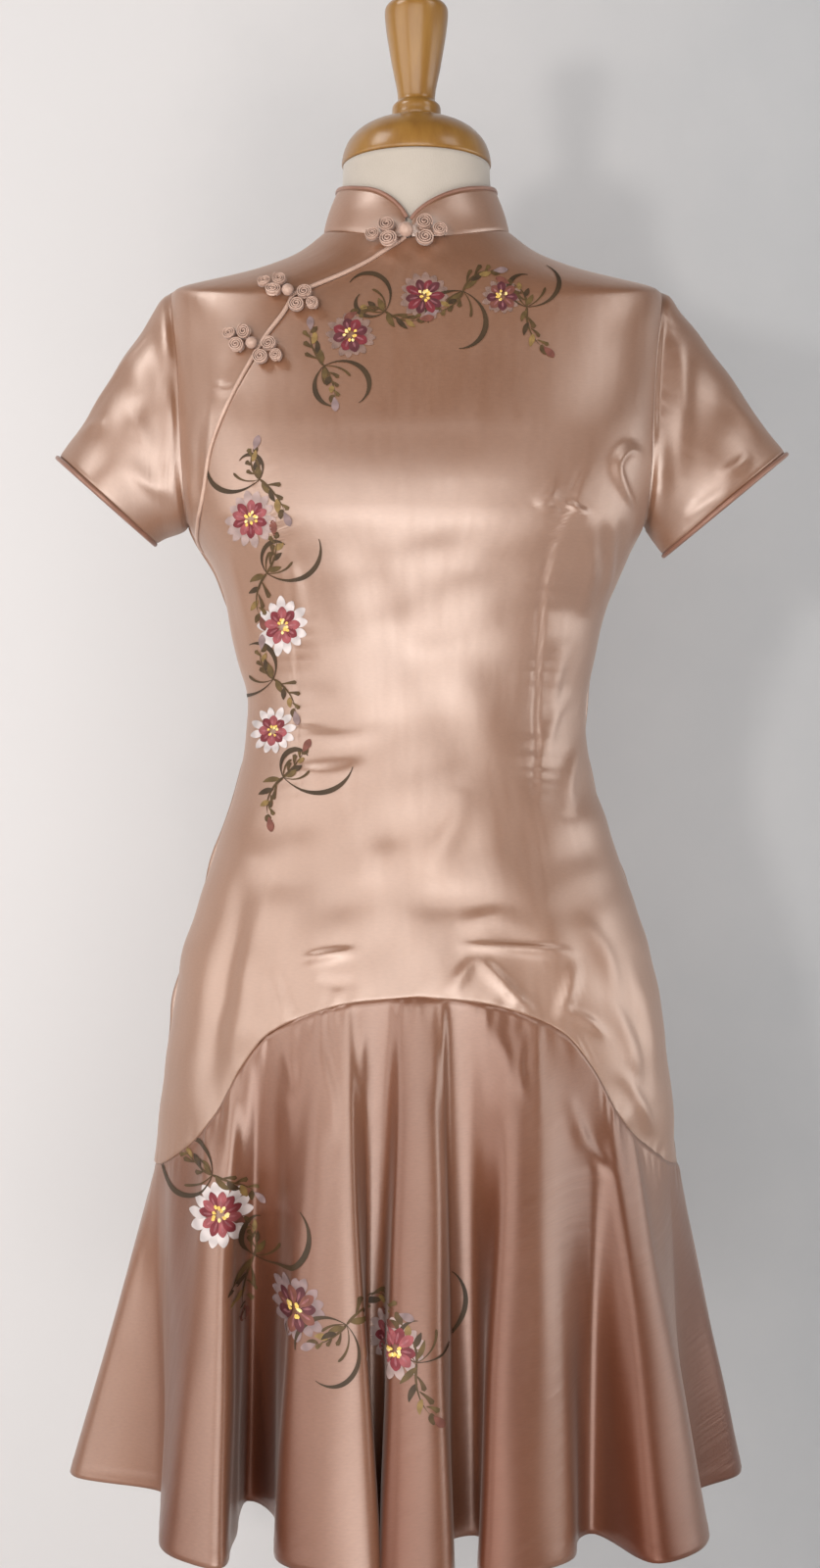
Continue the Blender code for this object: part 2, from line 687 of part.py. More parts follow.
def make_ball(name, frog):
    """The ball sits a little higher than the knots, over the piping."""
    mesh = bpy.data.meshes.new(name)
    shape = bmesh.new()
    bmesh.ops.create_uvsphere(shape, u_segments=10, v_segments=6, radius=frog.ball)
    shape.to_mesh(mesh)
    shape.free()
    mesh.shade_smooth()
    obj = bpy.data.objects.new(name, mesh)
    frame = frog_frame(frog, 0.0)
    obj.matrix_world = frame @ Matrix.Translation((0, 0, BALL_LIFT))
    return obj


# ---------------------------------------------------------------- the dress form

def make_form_body():
    """The form's body and neck, closed with a flat underside and a flat top."""
    turns = np.linspace(0, 2 * math.pi, FORM_COLUMNS, endpoint=False)
    bottom = over_torso(turns, FORM_BOTTOM, -form_inset(FORM_BOTTOM))
    bottom[:, 2] = FORM_BOTTOM
    rings = [bottom * [FORM_BOTTOM_EDGE, FORM_BOTTOM_EDGE, 1], bottom + [0, 0, FORM_BOTTOM_ROUND]]
    rings += [over_torso(turns, level, -form_inset(level)) for level in FORM_LEVELS]
    for height, half_width, front, back in FORM_NECK:
        depth = np.where(np.cos(turns) > 0, front, back)
        x, y = half_width * np.sin(turns), -depth * np.cos(turns)
        rings.append(np.column_stack([x, y, np.full(FORM_COLUMNS, height)]))
    last = (len(rings) - 1) * FORM_COLUMNS
    faces = grid_faces(len(rings), FORM_COLUMNS, closed=True)
    faces.append(tuple(range(FORM_COLUMNS))[::-1])
    faces.append(tuple(last + j for j in range(FORM_COLUMNS)))
    return mesh_object("form_body", np.concatenate(rings), faces)


def make_pole():
    low = BASE_PROFILE[0][1] + TOUCH_GAP
    high = FORM_BOTTOM - TOUCH_GAP
    mesh = bpy.data.meshes.new("form_pole")
    shape = bmesh.new()
    bmesh.ops.create_cone(
        shape, cap_ends=True, segments=POLE_SIDES,
        radius1=POLE_RADIUS, radius2=POLE_RADIUS, depth=high - low,
    )
    shape.to_mesh(mesh)
    shape.free()
    mesh.shade_smooth()
    obj = bpy.data.objects.new("form_pole", mesh)
    obj.location = (0, 0, (low + high) / 2)
    return obj


# ---------------------------------------------------------------- assembly

def main():
    for obj in list(bpy.data.objects):
        bpy.data.objects.remove(obj)
    parts = bpy.data.collections.new("cheongsam_on_dress_form")
    bpy.context.scene.collection.children.link(parts)

    satin = new_material("rose_satin", (0.56, 0.37, 0.30), 0.36, 0.2)
    piping = new_material("piping", (0.42, 0.26, 0.20), 0.45, 0.1)
    frogs = new_material("frog_cord", (0.50, 0.33, 0.27), 0.45, 0.1)
    jersey = new_material("form_jersey", (0.80, 0.76, 0.69), 0.90)
    wood = new_material("varnished_wood", (0.58, 0.36, 0.14), 0.28)
    steel = new_material("painted_pole", (0.62, 0.60, 0.57), 0.45, 0.3)

    for obj in (*make_front(), make_underlap(), *make_back(), make_collar()):
        place(parts, obj, satin)
    for cuff in CUFFS:
        place(parts, make_sleeve(cuff), satin)
        place(parts, make_cuff_piping(cuff), piping)
    place(parts, make_collar_piping(), piping)
    place(parts, make_opening_piping(), piping)

    for frog in FROGS:
        place(parts, make_lobed_knot(f"frog_{frog.name}_loop", frog, -1), frogs)
        place(parts, make_lobed_knot(f"frog_{frog.name}_button", frog, 1), frogs)
        place(parts, make_ball(f"frog_{frog.name}_ball", frog), frogs)

    place(parts, make_form_body(), jersey)
    place(parts, turned("form_cap", CAP_PROFILE), wood)
    place(parts, turned("form_finial", FINIAL_PROFILE, FINIAL_STEPS), wood)
    place(parts, turned("form_base", BASE_PROFILE), wood)
    place(parts, make_pole(), steel)


main()
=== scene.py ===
"""Looks of a satin cheongsam on its dress form, built around the packed CAD frame.

Metres, +Z up. The dress faces -Y and the wearer's left is +X. The cloth's own form is the CAD's:
the tables and the functions under "the dress's form" say the same as the part's source, and every
panel is drawn on them again with a finer grid, its creases, darts, seams and painted flowers.
"""

import json
import math
from collections import namedtuple

import bpy
import numpy as np
from mathutils import Matrix, Vector

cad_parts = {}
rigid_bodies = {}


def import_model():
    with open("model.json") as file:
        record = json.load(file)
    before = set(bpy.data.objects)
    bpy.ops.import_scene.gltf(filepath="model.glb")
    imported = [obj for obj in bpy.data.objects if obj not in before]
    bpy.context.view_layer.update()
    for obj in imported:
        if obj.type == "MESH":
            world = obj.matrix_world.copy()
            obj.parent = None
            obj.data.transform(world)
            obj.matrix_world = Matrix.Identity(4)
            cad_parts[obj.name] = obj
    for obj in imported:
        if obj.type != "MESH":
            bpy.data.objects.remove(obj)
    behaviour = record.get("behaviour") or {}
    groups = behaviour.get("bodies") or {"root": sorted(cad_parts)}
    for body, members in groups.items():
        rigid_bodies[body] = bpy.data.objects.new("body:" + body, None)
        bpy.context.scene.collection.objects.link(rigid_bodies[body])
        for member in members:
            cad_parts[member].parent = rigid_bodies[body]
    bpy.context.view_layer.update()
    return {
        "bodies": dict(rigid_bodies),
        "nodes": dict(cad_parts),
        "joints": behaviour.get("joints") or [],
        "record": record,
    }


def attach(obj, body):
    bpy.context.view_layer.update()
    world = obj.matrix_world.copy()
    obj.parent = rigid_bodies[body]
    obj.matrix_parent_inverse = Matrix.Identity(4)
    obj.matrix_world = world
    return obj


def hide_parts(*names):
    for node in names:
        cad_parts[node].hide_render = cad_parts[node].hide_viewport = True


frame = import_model()

# ---------------------------------------------------------------- the dress's form, as in the CAD

WAIST = 1.022
UNDERARM = 1.172
SHOULDER_TIP = 1.3525
NECK_POINT = 1.398
HEM_HEIGHT = 0.430
HEM_RISE = 0.006
SEAM_GAP = 0.0004

# Level, half width, depth of the front and of the back, how far the ring's front and back are
# above its side, and how square the ring is.
RINGS = np.array([
    (0.665, 0.2040, 0.130, 0.128, 0.0000, 0.0000, 2.00),
    (0.740, 0.1970, 0.127, 0.127, 0.0000, 0.0000, 2.05),
    (0.820, 0.1858, 0.120, 0.122, 0.0000, 0.0000, 2.10),
    (0.900, 0.1630, 0.106, 0.110, 0.0000, 0.0000, 2.15),
    (0.960, 0.1435, 0.095, 0.093, 0.0000, 0.0000, 2.15),
    (1.022, 0.1312, 0.086, 0.077, 0.0000, 0.0000, 2.20),
    (1.085, 0.1410, 0.096, 0.080, 0.0000, 0.0000, 2.30),
    (1.130, 0.1540, 0.112, 0.088, 0.0000, 0.0000, 2.40),
    (1.172, 0.1770, 0.124, 0.096, 0.0000, 0.0000, 2.50),
    (1.230, 0.1870, 0.115, 0.101, 0.0000, 0.0000, 2.70),
    (1.300, 0.1890, 0.096, 0.103, -0.0080, -0.0030, 2.90),
    (1.3525, 0.1900, 0.083, 0.088, -0.0245, -0.0145, 3.00),
    (1.3545, 0.1825, 0.082, 0.087, -0.0240, -0.0135, 3.00),
    (1.369, 0.1260, 0.075, 0.078, -0.0200, -0.0050, 2.60),
    (1.382, 0.0940, 0.069, 0.070, -0.0180, 0.0040, 2.30),
    (1.398, 0.0725, 0.064, 0.062, -0.0170, 0.0100, 2.05),
])

# The seam between the bodice and the flounce, as turn in degrees and height.
YOKE_SEAM = np.array([
    (0, 0.8155), (14, 0.811), (25, 0.801), (34, 0.787), (41, 0.762), (49, 0.723), (58, 0.699),
    (74, 0.680), (90, 0.675),
])

# The slanted opening, from the wearer's right side to the neck, as level and turn in degrees.
OPENING = np.array([
    (1.148, -89), (1.165, -65), (1.187, -55), (1.219, -48.5), (1.247, -43), (1.280, -37),
    (1.311, -32), (1.335, -28.5), (1.359, -25.5), (1.3825, -17), (1.398, -5),
])
OVERLAP = math.radians(10)
UNDERLAP_BOTTOM = 1.120
UNDERLAP_END = math.radians(6)

ARMHOLE_REACH = math.radians(25)
ARMHOLE_FULLNESS = 2.4

Fold = namedtuple("Fold", "kind seam_turn azimuth reach half_width")
FOLDS = (
    Fold("ridge", -90, -90, 0.269, 0.022),
    Fold("valley", -77, -72, 0.200, 0.008),
    Fold("ridge", -50, -41, 0.2500, 0.030),
    Fold("valley", -35, -53, 0.144, 0.018),
    Fold("ridge", -20, -17, 0.2195, 0.036),
    Fold("valley", -9, -12.5, 0.143, 0.005),
    Fold("ridge", 0, 0, 0.220, 0.022),
    Fold("valley", 9.5, 14.4, 0.1405, 0.009),
    Fold("ridge", 26, 21.3, 0.220, 0.034),
    Fold("valley", 40, 40.8, 0.185, 0.006),
    Fold("ridge", 52, 48, 0.262, 0.034),
    Fold("valley", 72, 71, 0.212, 0.012),
    Fold("ridge", 90, 90, 0.254, 0.018),
    Fold("valley", 104, 106, 0.200, 0.012),
    Fold("ridge", 117, 123, 0.258, 0.030),
    Fold("valley", 132, 138, 0.175, 0.012),
    Fold("ridge", 144, 152, 0.235, 0.032),
    Fold("valley", 160, 167, 0.160, 0.010),
    Fold("ridge", 178, 180, 0.240, 0.028),
    Fold("valley", 196, 194, 0.158, 0.010),
    Fold("ridge", 212, 209, 0.238, 0.034),
    Fold("valley", 229, 223, 0.172, 0.012),
    Fold("ridge", 242, 238, 0.260, 0.030),
    Fold("valley", 256, 255, 0.200, 0.012),
)
RIDGE_HALF_TURN = math.radians(3.0)
VALLEY_HALF_TURN = math.radians(1.5)
RIDGE_ROUNDING = 0.30

Cuff = namedtuple("Cuff", "name side outer_x outer_z inner_x inner_z half_depth")
CUFFS = (
    Cuff("right", -1, 0.279, 1.225, 0.2035, 1.158, 0.050),
    Cuff("left", 1, 0.288, 1.228, 0.1925, 1.149, 0.040),
)
CUFF_CORNER = 1.7
SLEEVE_LEAVE = (0.76, -0.65)
SLEEVE_START_PULL = 0.25
SLEEVE_END_PULL = 0.33
PIPING = 0.0016
CUFF_PIPING = 0.0019

COLLAR_TOP = (0.0625, 0.0630, 0.0600)
COLLAR_TOP_HEIGHT = (1.4295, 1.4145, 1.4380)
COLLAR_CENTRE = math.radians(-5)
WING_RIGHT = math.radians(33)
WING_LEFT = math.radians(46)
WING_LEAST = 0.10
WING_APART = math.radians(2.0)

Frog = namedtuple("Frog", "name x z slope spread coil ball height")
FROGS = (
    Frog("neck", -0.0075, 1.3800, 4, 0.0165, 0.0066, 0.0056, 0.0100),
    Frog("chest", -0.0950, 1.3330, -28, 0.0135, 0.0058, 0.0044, 0.0058),
    Frog("side", -0.1200, 1.2935, -30, 0.0135, 0.0058, 0.0044, 0.0058),
)


def hermite(knots, values, slopes):
    """A cubic function through the values at the knots, held flat beyond both ends."""
    def at(place):
        place = np.clip(np.asarray(place, float), knots[0], knots[-1])
        i = np.clip(np.searchsorted(knots, place, side="right") - 1, 0, len(knots) - 2)
        width = knots[i + 1] - knots[i]
        s = (place - knots[i]) / width
        if values.ndim == 2:
            width = width[..., None]
            s = s[..., None]
        start = (1 + 2 * s) * (1 - s) ** 2 * values[i] + s * (1 - s) ** 2 * width * slopes[i]
        end = s * s * (3 - 2 * s) * values[i + 1] + s * s * (s - 1) * width * slopes[i + 1]
        return start + end
    return at


def round_curve(knots, values):
    """A smooth function that may swing past its values, for a line that winds."""
    return hermite(knots, values, np.gradient(values, knots, axis=0))


def table_curve(table):
    """A smooth function of a table's first column that never swings past the table's values."""
    knots, values = table[:, 0], table[:, 1:]
    steps = np.diff(values, axis=0) / np.diff(knots)[:, None]
    before, after = steps[:-1], steps[1:]
    same_way = before * after > 0
    total = np.where(same_way, before + after, 1.0)
    inner = np.where(same_way, 2 * before * after / total, 0.0)
    return hermite(knots, values, np.concatenate([steps[:1], inner, steps[-1:]]))


ring_at = table_curve(RINGS)
seam_curve = table_curve(YOKE_SEAM)
opening_curve = table_curve(OPENING)


def torso(turn, level):
    """The dress's outer surface, as an array of points."""
    turn, level = np.broadcast_arrays(np.asarray(turn, float), np.asarray(level, float))
    half_width, front, back, front_rise, back_rise, square = np.moveaxis(ring_at(level), -1, 0)
    sine, cosine = np.sin(turn), np.cos(turn)
    reach = (np.abs(sine) ** square + np.abs(cosine) ** square) ** (-1 / square)
    depth = np.where(cosine > 0, front, back)
    rise = np.where(cosine > 0, front_rise, back_rise)
    x = half_width * sine * reach
    y = -depth * cosine * reach
    z = level + rise * cosine ** 2
    return np.stack([x, y, z], axis=-1)


def outward(turn, level, step=0.002):
    """The torso surface's unit normal."""
    along = torso(turn + step, level) - torso(turn - step, level)
    top = np.minimum(level + step, NECK_POINT)
    bottom = np.maximum(top - 2 * step, RINGS[0, 0])
    up = torso(turn, top) - torso(turn, bottom)
    normal = np.cross(along, up)
    return normal / np.linalg.norm(normal, axis=-1, keepdims=True)


def over_torso(turn, level, height):
    return torso(turn, level) + outward(turn, level) * np.asarray(height)[..., None]


def find_on_front(x, z):
    """The turn and level of the torso's front where its x and z are these."""
    turn, level = math.asin(x / 0.2), z
    step = 1e-4
    for _ in range(20):
        here = torso(turn, level)
        by_turn = (torso(turn + step, level) - here)[[0, 2]] / step
        by_level = (torso(turn, level + step) - here)[[0, 2]] / step
        change = np.linalg.solve(np.column_stack([by_turn, by_level]), [x - here[0], z - here[2]])
        turn += float(np.clip(change[0], -0.2, 0.2))
        level += float(np.clip(change[1], -0.02, 0.02))
    return turn, level


def opening_turn(level):
    return np.radians(opening_curve(level)[..., 0])


def yoke(turn):
    """The height of the yoke seam, the same at the back as at the front."""
    turn = np.abs((np.asarray(turn) + math.pi) % (2 * math.pi) - math.pi)
    return seam_curve(np.degrees(np.minimum(turn, math.pi - turn)))[..., 0]


def side_turn(level):
    """The turn at which a panel stops, at the side or shoulder seam."""
    return math.pi / 2 - SEAM_GAP * 0.75 / ring_at(level)[..., 1]


def armhole_gap(level):
    """How far short of the side a panel stops along the armhole."""
    middle = (UNDERARM + SHOULDER_TIP) / 2
    share = np.clip(np.abs(level - middle) / (SHOULDER_TIP - middle), 0, 1)
    return ARMHOLE_REACH * (1 - share ** ARMHOLE_FULLNESS) ** (1 / ARMHOLE_FULLNESS)


def panel_edge(level):
    """The turn where a panel's plain edge runs: side seam, armhole and shoulder seam."""
    return side_turn(level) - armhole_gap(level)


def front_right_edge(level):
    """The wearer's right edge of the front: the side seam, then the slanted opening."""
    slanted = np.maximum(opening_turn(level), -side_turn(level))
    return np.where(level <= OPENING[0, 0], -side_turn(level), slanted)


def fold_points():
    """Turn at the seam and place at the hem of two or three points for each fold."""
    turns, places = [], []
    for fold in FOLDS:
        azimuth = math.radians(fold.azimuth)
        out = np.array([math.sin(azimuth), -math.cos(azimuth)])
        along = np.array([math.cos(azimuth), math.sin(azimuth)])
        middle = out * fold.reach
        seam_turn = math.radians(fold.seam_turn)
        if fold.kind == "ridge":
            shares, half_turn, back = (-1, 0, 1), RIDGE_HALF_TURN, RIDGE_ROUNDING * fold.half_width
        else:
            shares, half_turn, back = (-1, 1), VALLEY_HALF_TURN, 0.0
        for share in shares:
            turns.append(seam_turn + share * half_turn)
            places.append(middle + along * fold.half_width * share - out * back * abs(share))
    return np.array(turns), np.array(places)


def hem_curve():
    """Functions of a share of the way round, from the wearer's right side seam and forward."""
    turns, places = fold_points()
    turns = np.roll(turns, -1)
    places = np.roll(places, -1, axis=0)
    turns[-1] += 2 * math.pi
    steps = np.linalg.norm(np.diff(places, axis=0, append=places[:1]), axis=1) ** 0.5
    knots = np.concatenate([[0], np.cumsum(steps)])
    knots /= knots[-1]
    values = np.column_stack([turns, places])
    again = values + [2 * math.pi, 0, 0]
    before = values - [2 * math.pi, 0, 0]
    full_knots = np.concatenate([knots[:-1] - 1, knots[:-1], knots[:-1] + 1])
    full_values = np.concatenate([before, values, again])
    return round_curve(full_knots, full_values)


def rounded(angle, fullness):
    """Cosine and sine of an angle on a curve between a lens and a square."""
    cosine, sine = np.cos(angle), np.sin(angle)
    reach = (np.abs(cosine) ** fullness + np.abs(sine) ** fullness) ** (-1 / fullness)
    return cosine * reach, sine * reach


def cuff_direction(cuff):
    """Which way the cuff's opening faces."""
    across = np.array([cuff.outer_x - cuff.inner_x, cuff.outer_z - cuff.inner_z])
    across /= np.linalg.norm(across)
    return np.array([cuff.side * across[1], 0, -across[0]])


def cuff_loop(cuff, angles, beyond=0.0):
    """Points round the cuff, from the underarm up the front, and past its edge by this much."""
    down, forward = rounded(angles, CUFF_CORNER)
    outer = np.array([cuff.side * cuff.outer_x, 0, cuff.outer_z])
    inner = np.array([cuff.side * cuff.inner_x, 0, cuff.inner_z])
    half = (inner - outer) / 2
    middle = (inner + outer) / 2 + cuff_direction(cuff) * beyond
    return middle + half * down[:, None] + np.outer(forward, [0, -cuff.half_depth, 0])


def wing(turn):
    """The share of its full height that the collar has at a turn."""
    past = (turn - COLLAR_CENTRE) % (2 * math.pi)
    left = np.clip(past / WING_LEFT, 0, 1)
    right = np.clip((2 * math.pi - past) / WING_RIGHT, 0, 1)
    rise = np.sqrt(1 - (1 - left) ** 2) * np.sqrt(1 - (1 - right) ** 2)
    return WING_LEAST + (1 - WING_LEAST) * rise


def collar_turns(points):
    """From the wearer's left wing round the back to the right wing, closer at the wings."""
    share = np.linspace(-1, 1, points)
    eased = np.sign(share) * (1 - (1 - np.abs(share)) ** 1.35)
    return COLLAR_CENTRE + math.pi + eased * (math.pi - WING_APART)


def collar_point(turn, share):
    """A point of the collar's outer face, this share of the way from its seam to its full top."""
    base = torso(turn, NECK_POINT) + np.array([0, 0, 1.5 * SEAM_GAP])
    half_width, front, back = COLLAR_TOP
    side, fore, aft = COLLAR_TOP_HEIGHT
    sine, cosine = np.sin(turn), np.cos(turn)
    depth = np.where(cosine > 0, front, back)
    height = side + np.where(cosine > 0, fore - side, aft - side) * cosine ** 2
    top = np.stack([half_width * sine, -depth * cosine, height], axis=-1)
    share = np.asarray(share)[..., None]
    return base + (top - base) * share


# ---------------------------------------------------------------- creases, puckers and rolls

Crease = namedtuple("Crease", "points width height steep")
Crease.__doc__ = """A soft ridge, or a trough where its height is negative, seen from the front.

Its points are x and z. Steep is how much narrower it is on its left-hand side."""


def smooth_line(points, per_span=5):
    """Points close together on a smooth line through a few."""
    points = np.array(points, float)
    knots = np.concatenate([[0], np.cumsum(np.linalg.norm(np.diff(points, axis=0), axis=1))])
    if len(points) < 3:
        return np.linspace(points[0], points[-1], per_span + 1)
    return round_curve(knots, points)(np.linspace(0, knots[-1], per_span * (len(points) - 1) + 1))


def measure_line(x, z, points):
    """How far each place is from a line, to which side, and what share along it."""
    line = smooth_line(points)
    lengths = np.linalg.norm(np.diff(line, axis=0), axis=1)
    starts = np.concatenate([[0], np.cumsum(lengths)])
    best = np.full(x.shape, 1e9)
    side = np.zeros_like(best)
    along = np.zeros_like(best)
    for (ax, az), (bx, bz), length, start in zip(line[:-1], line[1:], lengths, starts):
        dx, dz = (bx - ax) / length, (bz - az) / length
        reach = np.clip((x - ax) * dx + (z - az) * dz, 0, length)
        distance = np.hypot(x - ax - reach * dx, z - az - reach * dz)
        nearer = distance < best
        best = np.where(nearer, distance, best)
        side = np.where(nearer, dx * (z - az) - dz * (x - ax), side)
        along = np.where(nearer, (start + reach) / starts[-1], along)
    return best, side, along


def creased(x, z, creases):
    """The height of all the creases at each place."""
    total = np.zeros_like(x)
    for crease in creases:
        xs, zs = np.array(crease.points).T
        margin = 4 * crease.width
        near = (x > xs.min() - margin) & (x < xs.max() + margin)
        near &= (z > zs.min() - margin) & (z < zs.max() + margin)
        distance, side, share = measure_line(x[near], z[near], crease.points)
        width = np.where(side > 0, crease.width / crease.steep, crease.width)
        total[near] += crease.height * np.exp(-(distance / width) ** 2) * np.sin(math.pi * share)
    return total


def swell(x, z, shortest, longest, height, seed, waves=14):
    """A gentle unevenness, made of waves of these lengths in all directions."""
    rng = np.random.default_rng(seed)
    total = np.zeros_like(x)
    for _ in range(waves):
        length = rng.uniform(shortest, longest)
        angle = rng.uniform(0, math.pi)
        phase = rng.uniform(0, 2 * math.pi)
        total += np.sin((x * math.cos(angle) + z * math.sin(angle)) * 2 * math.pi / length + phase)
    return total * height / math.sqrt(waves / 2)


def puckers(along, away, pitch, height, reach, seed):
    """Small uneven ripples that cross a seam and die away beside it."""
    rng = np.random.default_rng(seed)
    wobble = np.zeros_like(along)
    for length in (0.05, 0.083, 0.131):
        wobble += np.sin(along * 2 * math.pi / length + rng.uniform(0, 2 * math.pi))
    strength = 0.55 + 0.45 * np.sin(along * 2 * math.pi / 0.061 + rng.uniform(0, 2 * math.pi))
    ripple = np.sin(along * 2 * math.pi / pitch + 1.4 * wobble)
    return height * strength * ripple * np.exp(-(away / reach) ** 2)


def roll(away, depth=0.0010, width=0.0019):
    """How far the cloth dips as it turns into a seam."""
    return -depth * np.clip(1 - away / width, 0, 1) ** 2


def unit(vectors):
    return vectors / np.linalg.norm(vectors, axis=-1, keepdims=True)


def grid_normals(points, closed=False):
    if closed:
        along = np.roll(points, -1, axis=1) - np.roll(points, 1, axis=1)
    else:
        along = np.gradient(points, axis=1)
    return unit(np.cross(along, np.gradient(points, axis=0)))


def run_length(points, axis):
    """How far each point is from the first one, along the rows or the columns."""
    steps = np.linalg.norm(np.diff(points, axis=axis), axis=-1)
    return np.concatenate([np.zeros_like(steps.take([0], axis)), np.cumsum(steps, axis=axis)], axis)


Edges = namedtuple("Edges", "left right bottom top")


def edge_distances(points):
    across, up = run_length(points, 1), run_length(points, 0)
    return Edges(across, across[:, -1:] - across, up, up[-1:] - up)


# ---------------------------------------------------------------- meshes

CLOTH = 0.0010
SPACING = 0.0030
SEAM_STEPS = np.array([0.0, 0.0006, 0.0013, 0.0021, 0.0031])     # closer points beside a seam


def shares_along(length, spacing=SPACING):
    """Places from 0 to 1 along a piece of this length, closer together beside its two seams."""
    count = max(3, round((length - 2 * SEAM_STEPS[-1]) / spacing) + 1)
    middle = np.linspace(SEAM_STEPS[-1], length - SEAM_STEPS[-1], count)[1:-1]
    return np.concatenate([SEAM_STEPS, middle, length - SEAM_STEPS[::-1]]) / length


def mesh_from(name, vertices, faces, material):
    mesh = bpy.data.meshes.new(name)
    mesh.from_pydata(np.asarray(vertices, float).tolist(), [], faces)
    mesh.shade_smooth()
    obj = bpy.data.objects.new(name, mesh)
    bpy.context.scene.collection.objects.link(obj)
    obj.data.materials.append(material)
    return obj


def stand_for(obj, node):
    """Says which node of the frame a piece replaces and what it is made of."""
    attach(obj, "root")
    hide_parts(node)


def grid_faces(rows, columns, closed=False):
    i, j = np.meshgrid(np.arange(rows - 1), np.arange(columns - (not closed)), indexing="ij")
    k = (j + 1) % columns
    quads = [i * columns + j, i * columns + k, (i + 1) * columns + k, (i + 1) * columns + j]
    return np.stack(quads, axis=-1).reshape(-1, 4).tolist()


def set_weave_map(obj, across, up):
    """A UV map in metres of cloth, with U across the threads that catch the light."""
    loops = np.zeros(len(obj.data.loops), np.int32)
    obj.data.loops.foreach_get("vertex_index", loops)
    layers = obj.data.uv_layers
    layer = layers.get("Weave") or layers.new(name="Weave")
    places = np.stack([across.ravel(), up.ravel()], axis=1)[loops]
    layer.data.foreach_set("uv", places.astype(np.float32).ravel())


def set_point_colours(obj, name, colours):
    """A layer with a colour at each of the mesh's points."""
    layer = obj.data.color_attributes.new(name, "FLOAT_COLOR", "POINT")
    rgba = np.column_stack([colours, np.ones(len(colours))])
    layer.data.foreach_set("color", rgba.astype(np.float32).ravel())


def cloth_piece(name, points, materials, closed=False, thickness=CLOTH):
    """A cloth wall whose outer face is a grid of points, its rows going up, its columns left."""
    rows, columns, _ = points.shape
    faces = grid_faces(rows, columns, closed)
    obj = mesh_from(name, points.reshape(-1, 3), faces, materials[0])
    obj.data.materials.append(materials[1])
    set_weave_map(obj, run_length(points, 1), run_length(points, 0))
    wall = obj.modifiers.new("Cloth thickness", "SOLIDIFY")
    wall.thickness = thickness
    wall.offset = -1
    wall.material_offset = 1
    return obj


def tube(name, points, radius, material, cyclic=False, resolution=3):
    curve = bpy.data.curves.new(name, "CURVE")
    curve.dimensions = "3D"
    curve.bevel_depth = radius
    curve.bevel_resolution = resolution
    curve.use_fill_caps = not cyclic
    line = curve.splines.new("POLY")
    line.points.add(len(points) - 1)
    for target, point in zip(line.points, points):
        target.co = (*map(float, point), 1.0)
    line.use_cyclic_u = cyclic
    obj = bpy.data.objects.new(name, curve)
    bpy.context.scene.collection.objects.link(obj)
    obj.data.materials.append(material)
    return obj


# ---------------------------------------------------------------- materials

class Nodes:
    """Adds nodes to a material and joins them, so that a material reads as a short list."""

    def __init__(self, name):
        self.material = bpy.data.materials.new(name)
        self.material.use_nodes = True
        self.tree = self.material.node_tree
        self.shader = self.tree.nodes["Principled BSDF"]

    def add(self, kind, **values):
        node = self.tree.nodes.new(kind)
        for key, value in values.items():
            if hasattr(node, key):
                setattr(node, key, value)
            else:
                node.inputs[key.replace("_", " ")].default_value = value
        return node

    def join(self, source, output, target, socket):
        self.tree.links.new(source.outputs[output], target.inputs[socket])

    def set(self, **values):
        for key, value in values.items():
            self.shader.inputs[key.replace("_", " ")].default_value = value

    def noise(self, place, scale, detail=2.0, roughness=0.5):
        node = self.add("ShaderNodeTexNoise", Scale=scale, Detail=detail, Roughness=roughness)
        self.tree.links.new(place, node.inputs["Vector"])
        return node.outputs["Fac"]

    def ramp(self, factor, *stops):
        node = self.add("ShaderNodeValToRGB")
        ramp = node.color_ramp
        while len(ramp.elements) < len(stops):
            ramp.elements.new(0.5)
        for element, (position, colour) in zip(ramp.elements, stops):
            element.position = position
            element.color = (*colour, 1.0)
        self.tree.links.new(factor, node.inputs["Fac"])
        return node.outputs["Color"]

    def math(self, operation, first, second):
        node = self.add("ShaderNodeMath", operation=operation)
        for socket, value in zip(node.inputs, (first, second)):
            if isinstance(value, (int, float)):
                socket.default_value = value
            else:
                self.tree.links.new(value, socket)
        return node.outputs["Value"]

    def multiply(self, first, second):
        node = self.add("ShaderNodeMix", data_type="RGBA", blend_type="MULTIPLY")
        node.inputs[0].default_value = 1.0
        self.tree.links.new(first, node.inputs[6])
        self.tree.links.new(second, node.inputs[7])
        return node.outputs[2]

    def bump(self, height, strength, distance, after=None):
        node = self.add("ShaderNodeBump", Strength=strength, Distance=distance)
        self.tree.links.new(height, node.inputs["Height"])
        if after is not None:
            self.tree.links.new(after, node.inputs["Normal"])
        return node.outputs["Normal"]

    def feed(self, output, socket):
        self.tree.links.new(output, self.shader.inputs[socket])


def stretched(nodes, source, scale):
    mapping = nodes.add("ShaderNodeMapping", Scale=scale)
    nodes.tree.links.new(source, mapping.inputs["Vector"])
    return mapping.outputs["Vector"]


GLOSS = (1.0, 0.885, 0.81, 1.0)       # the warm tint of the light that satin throws back


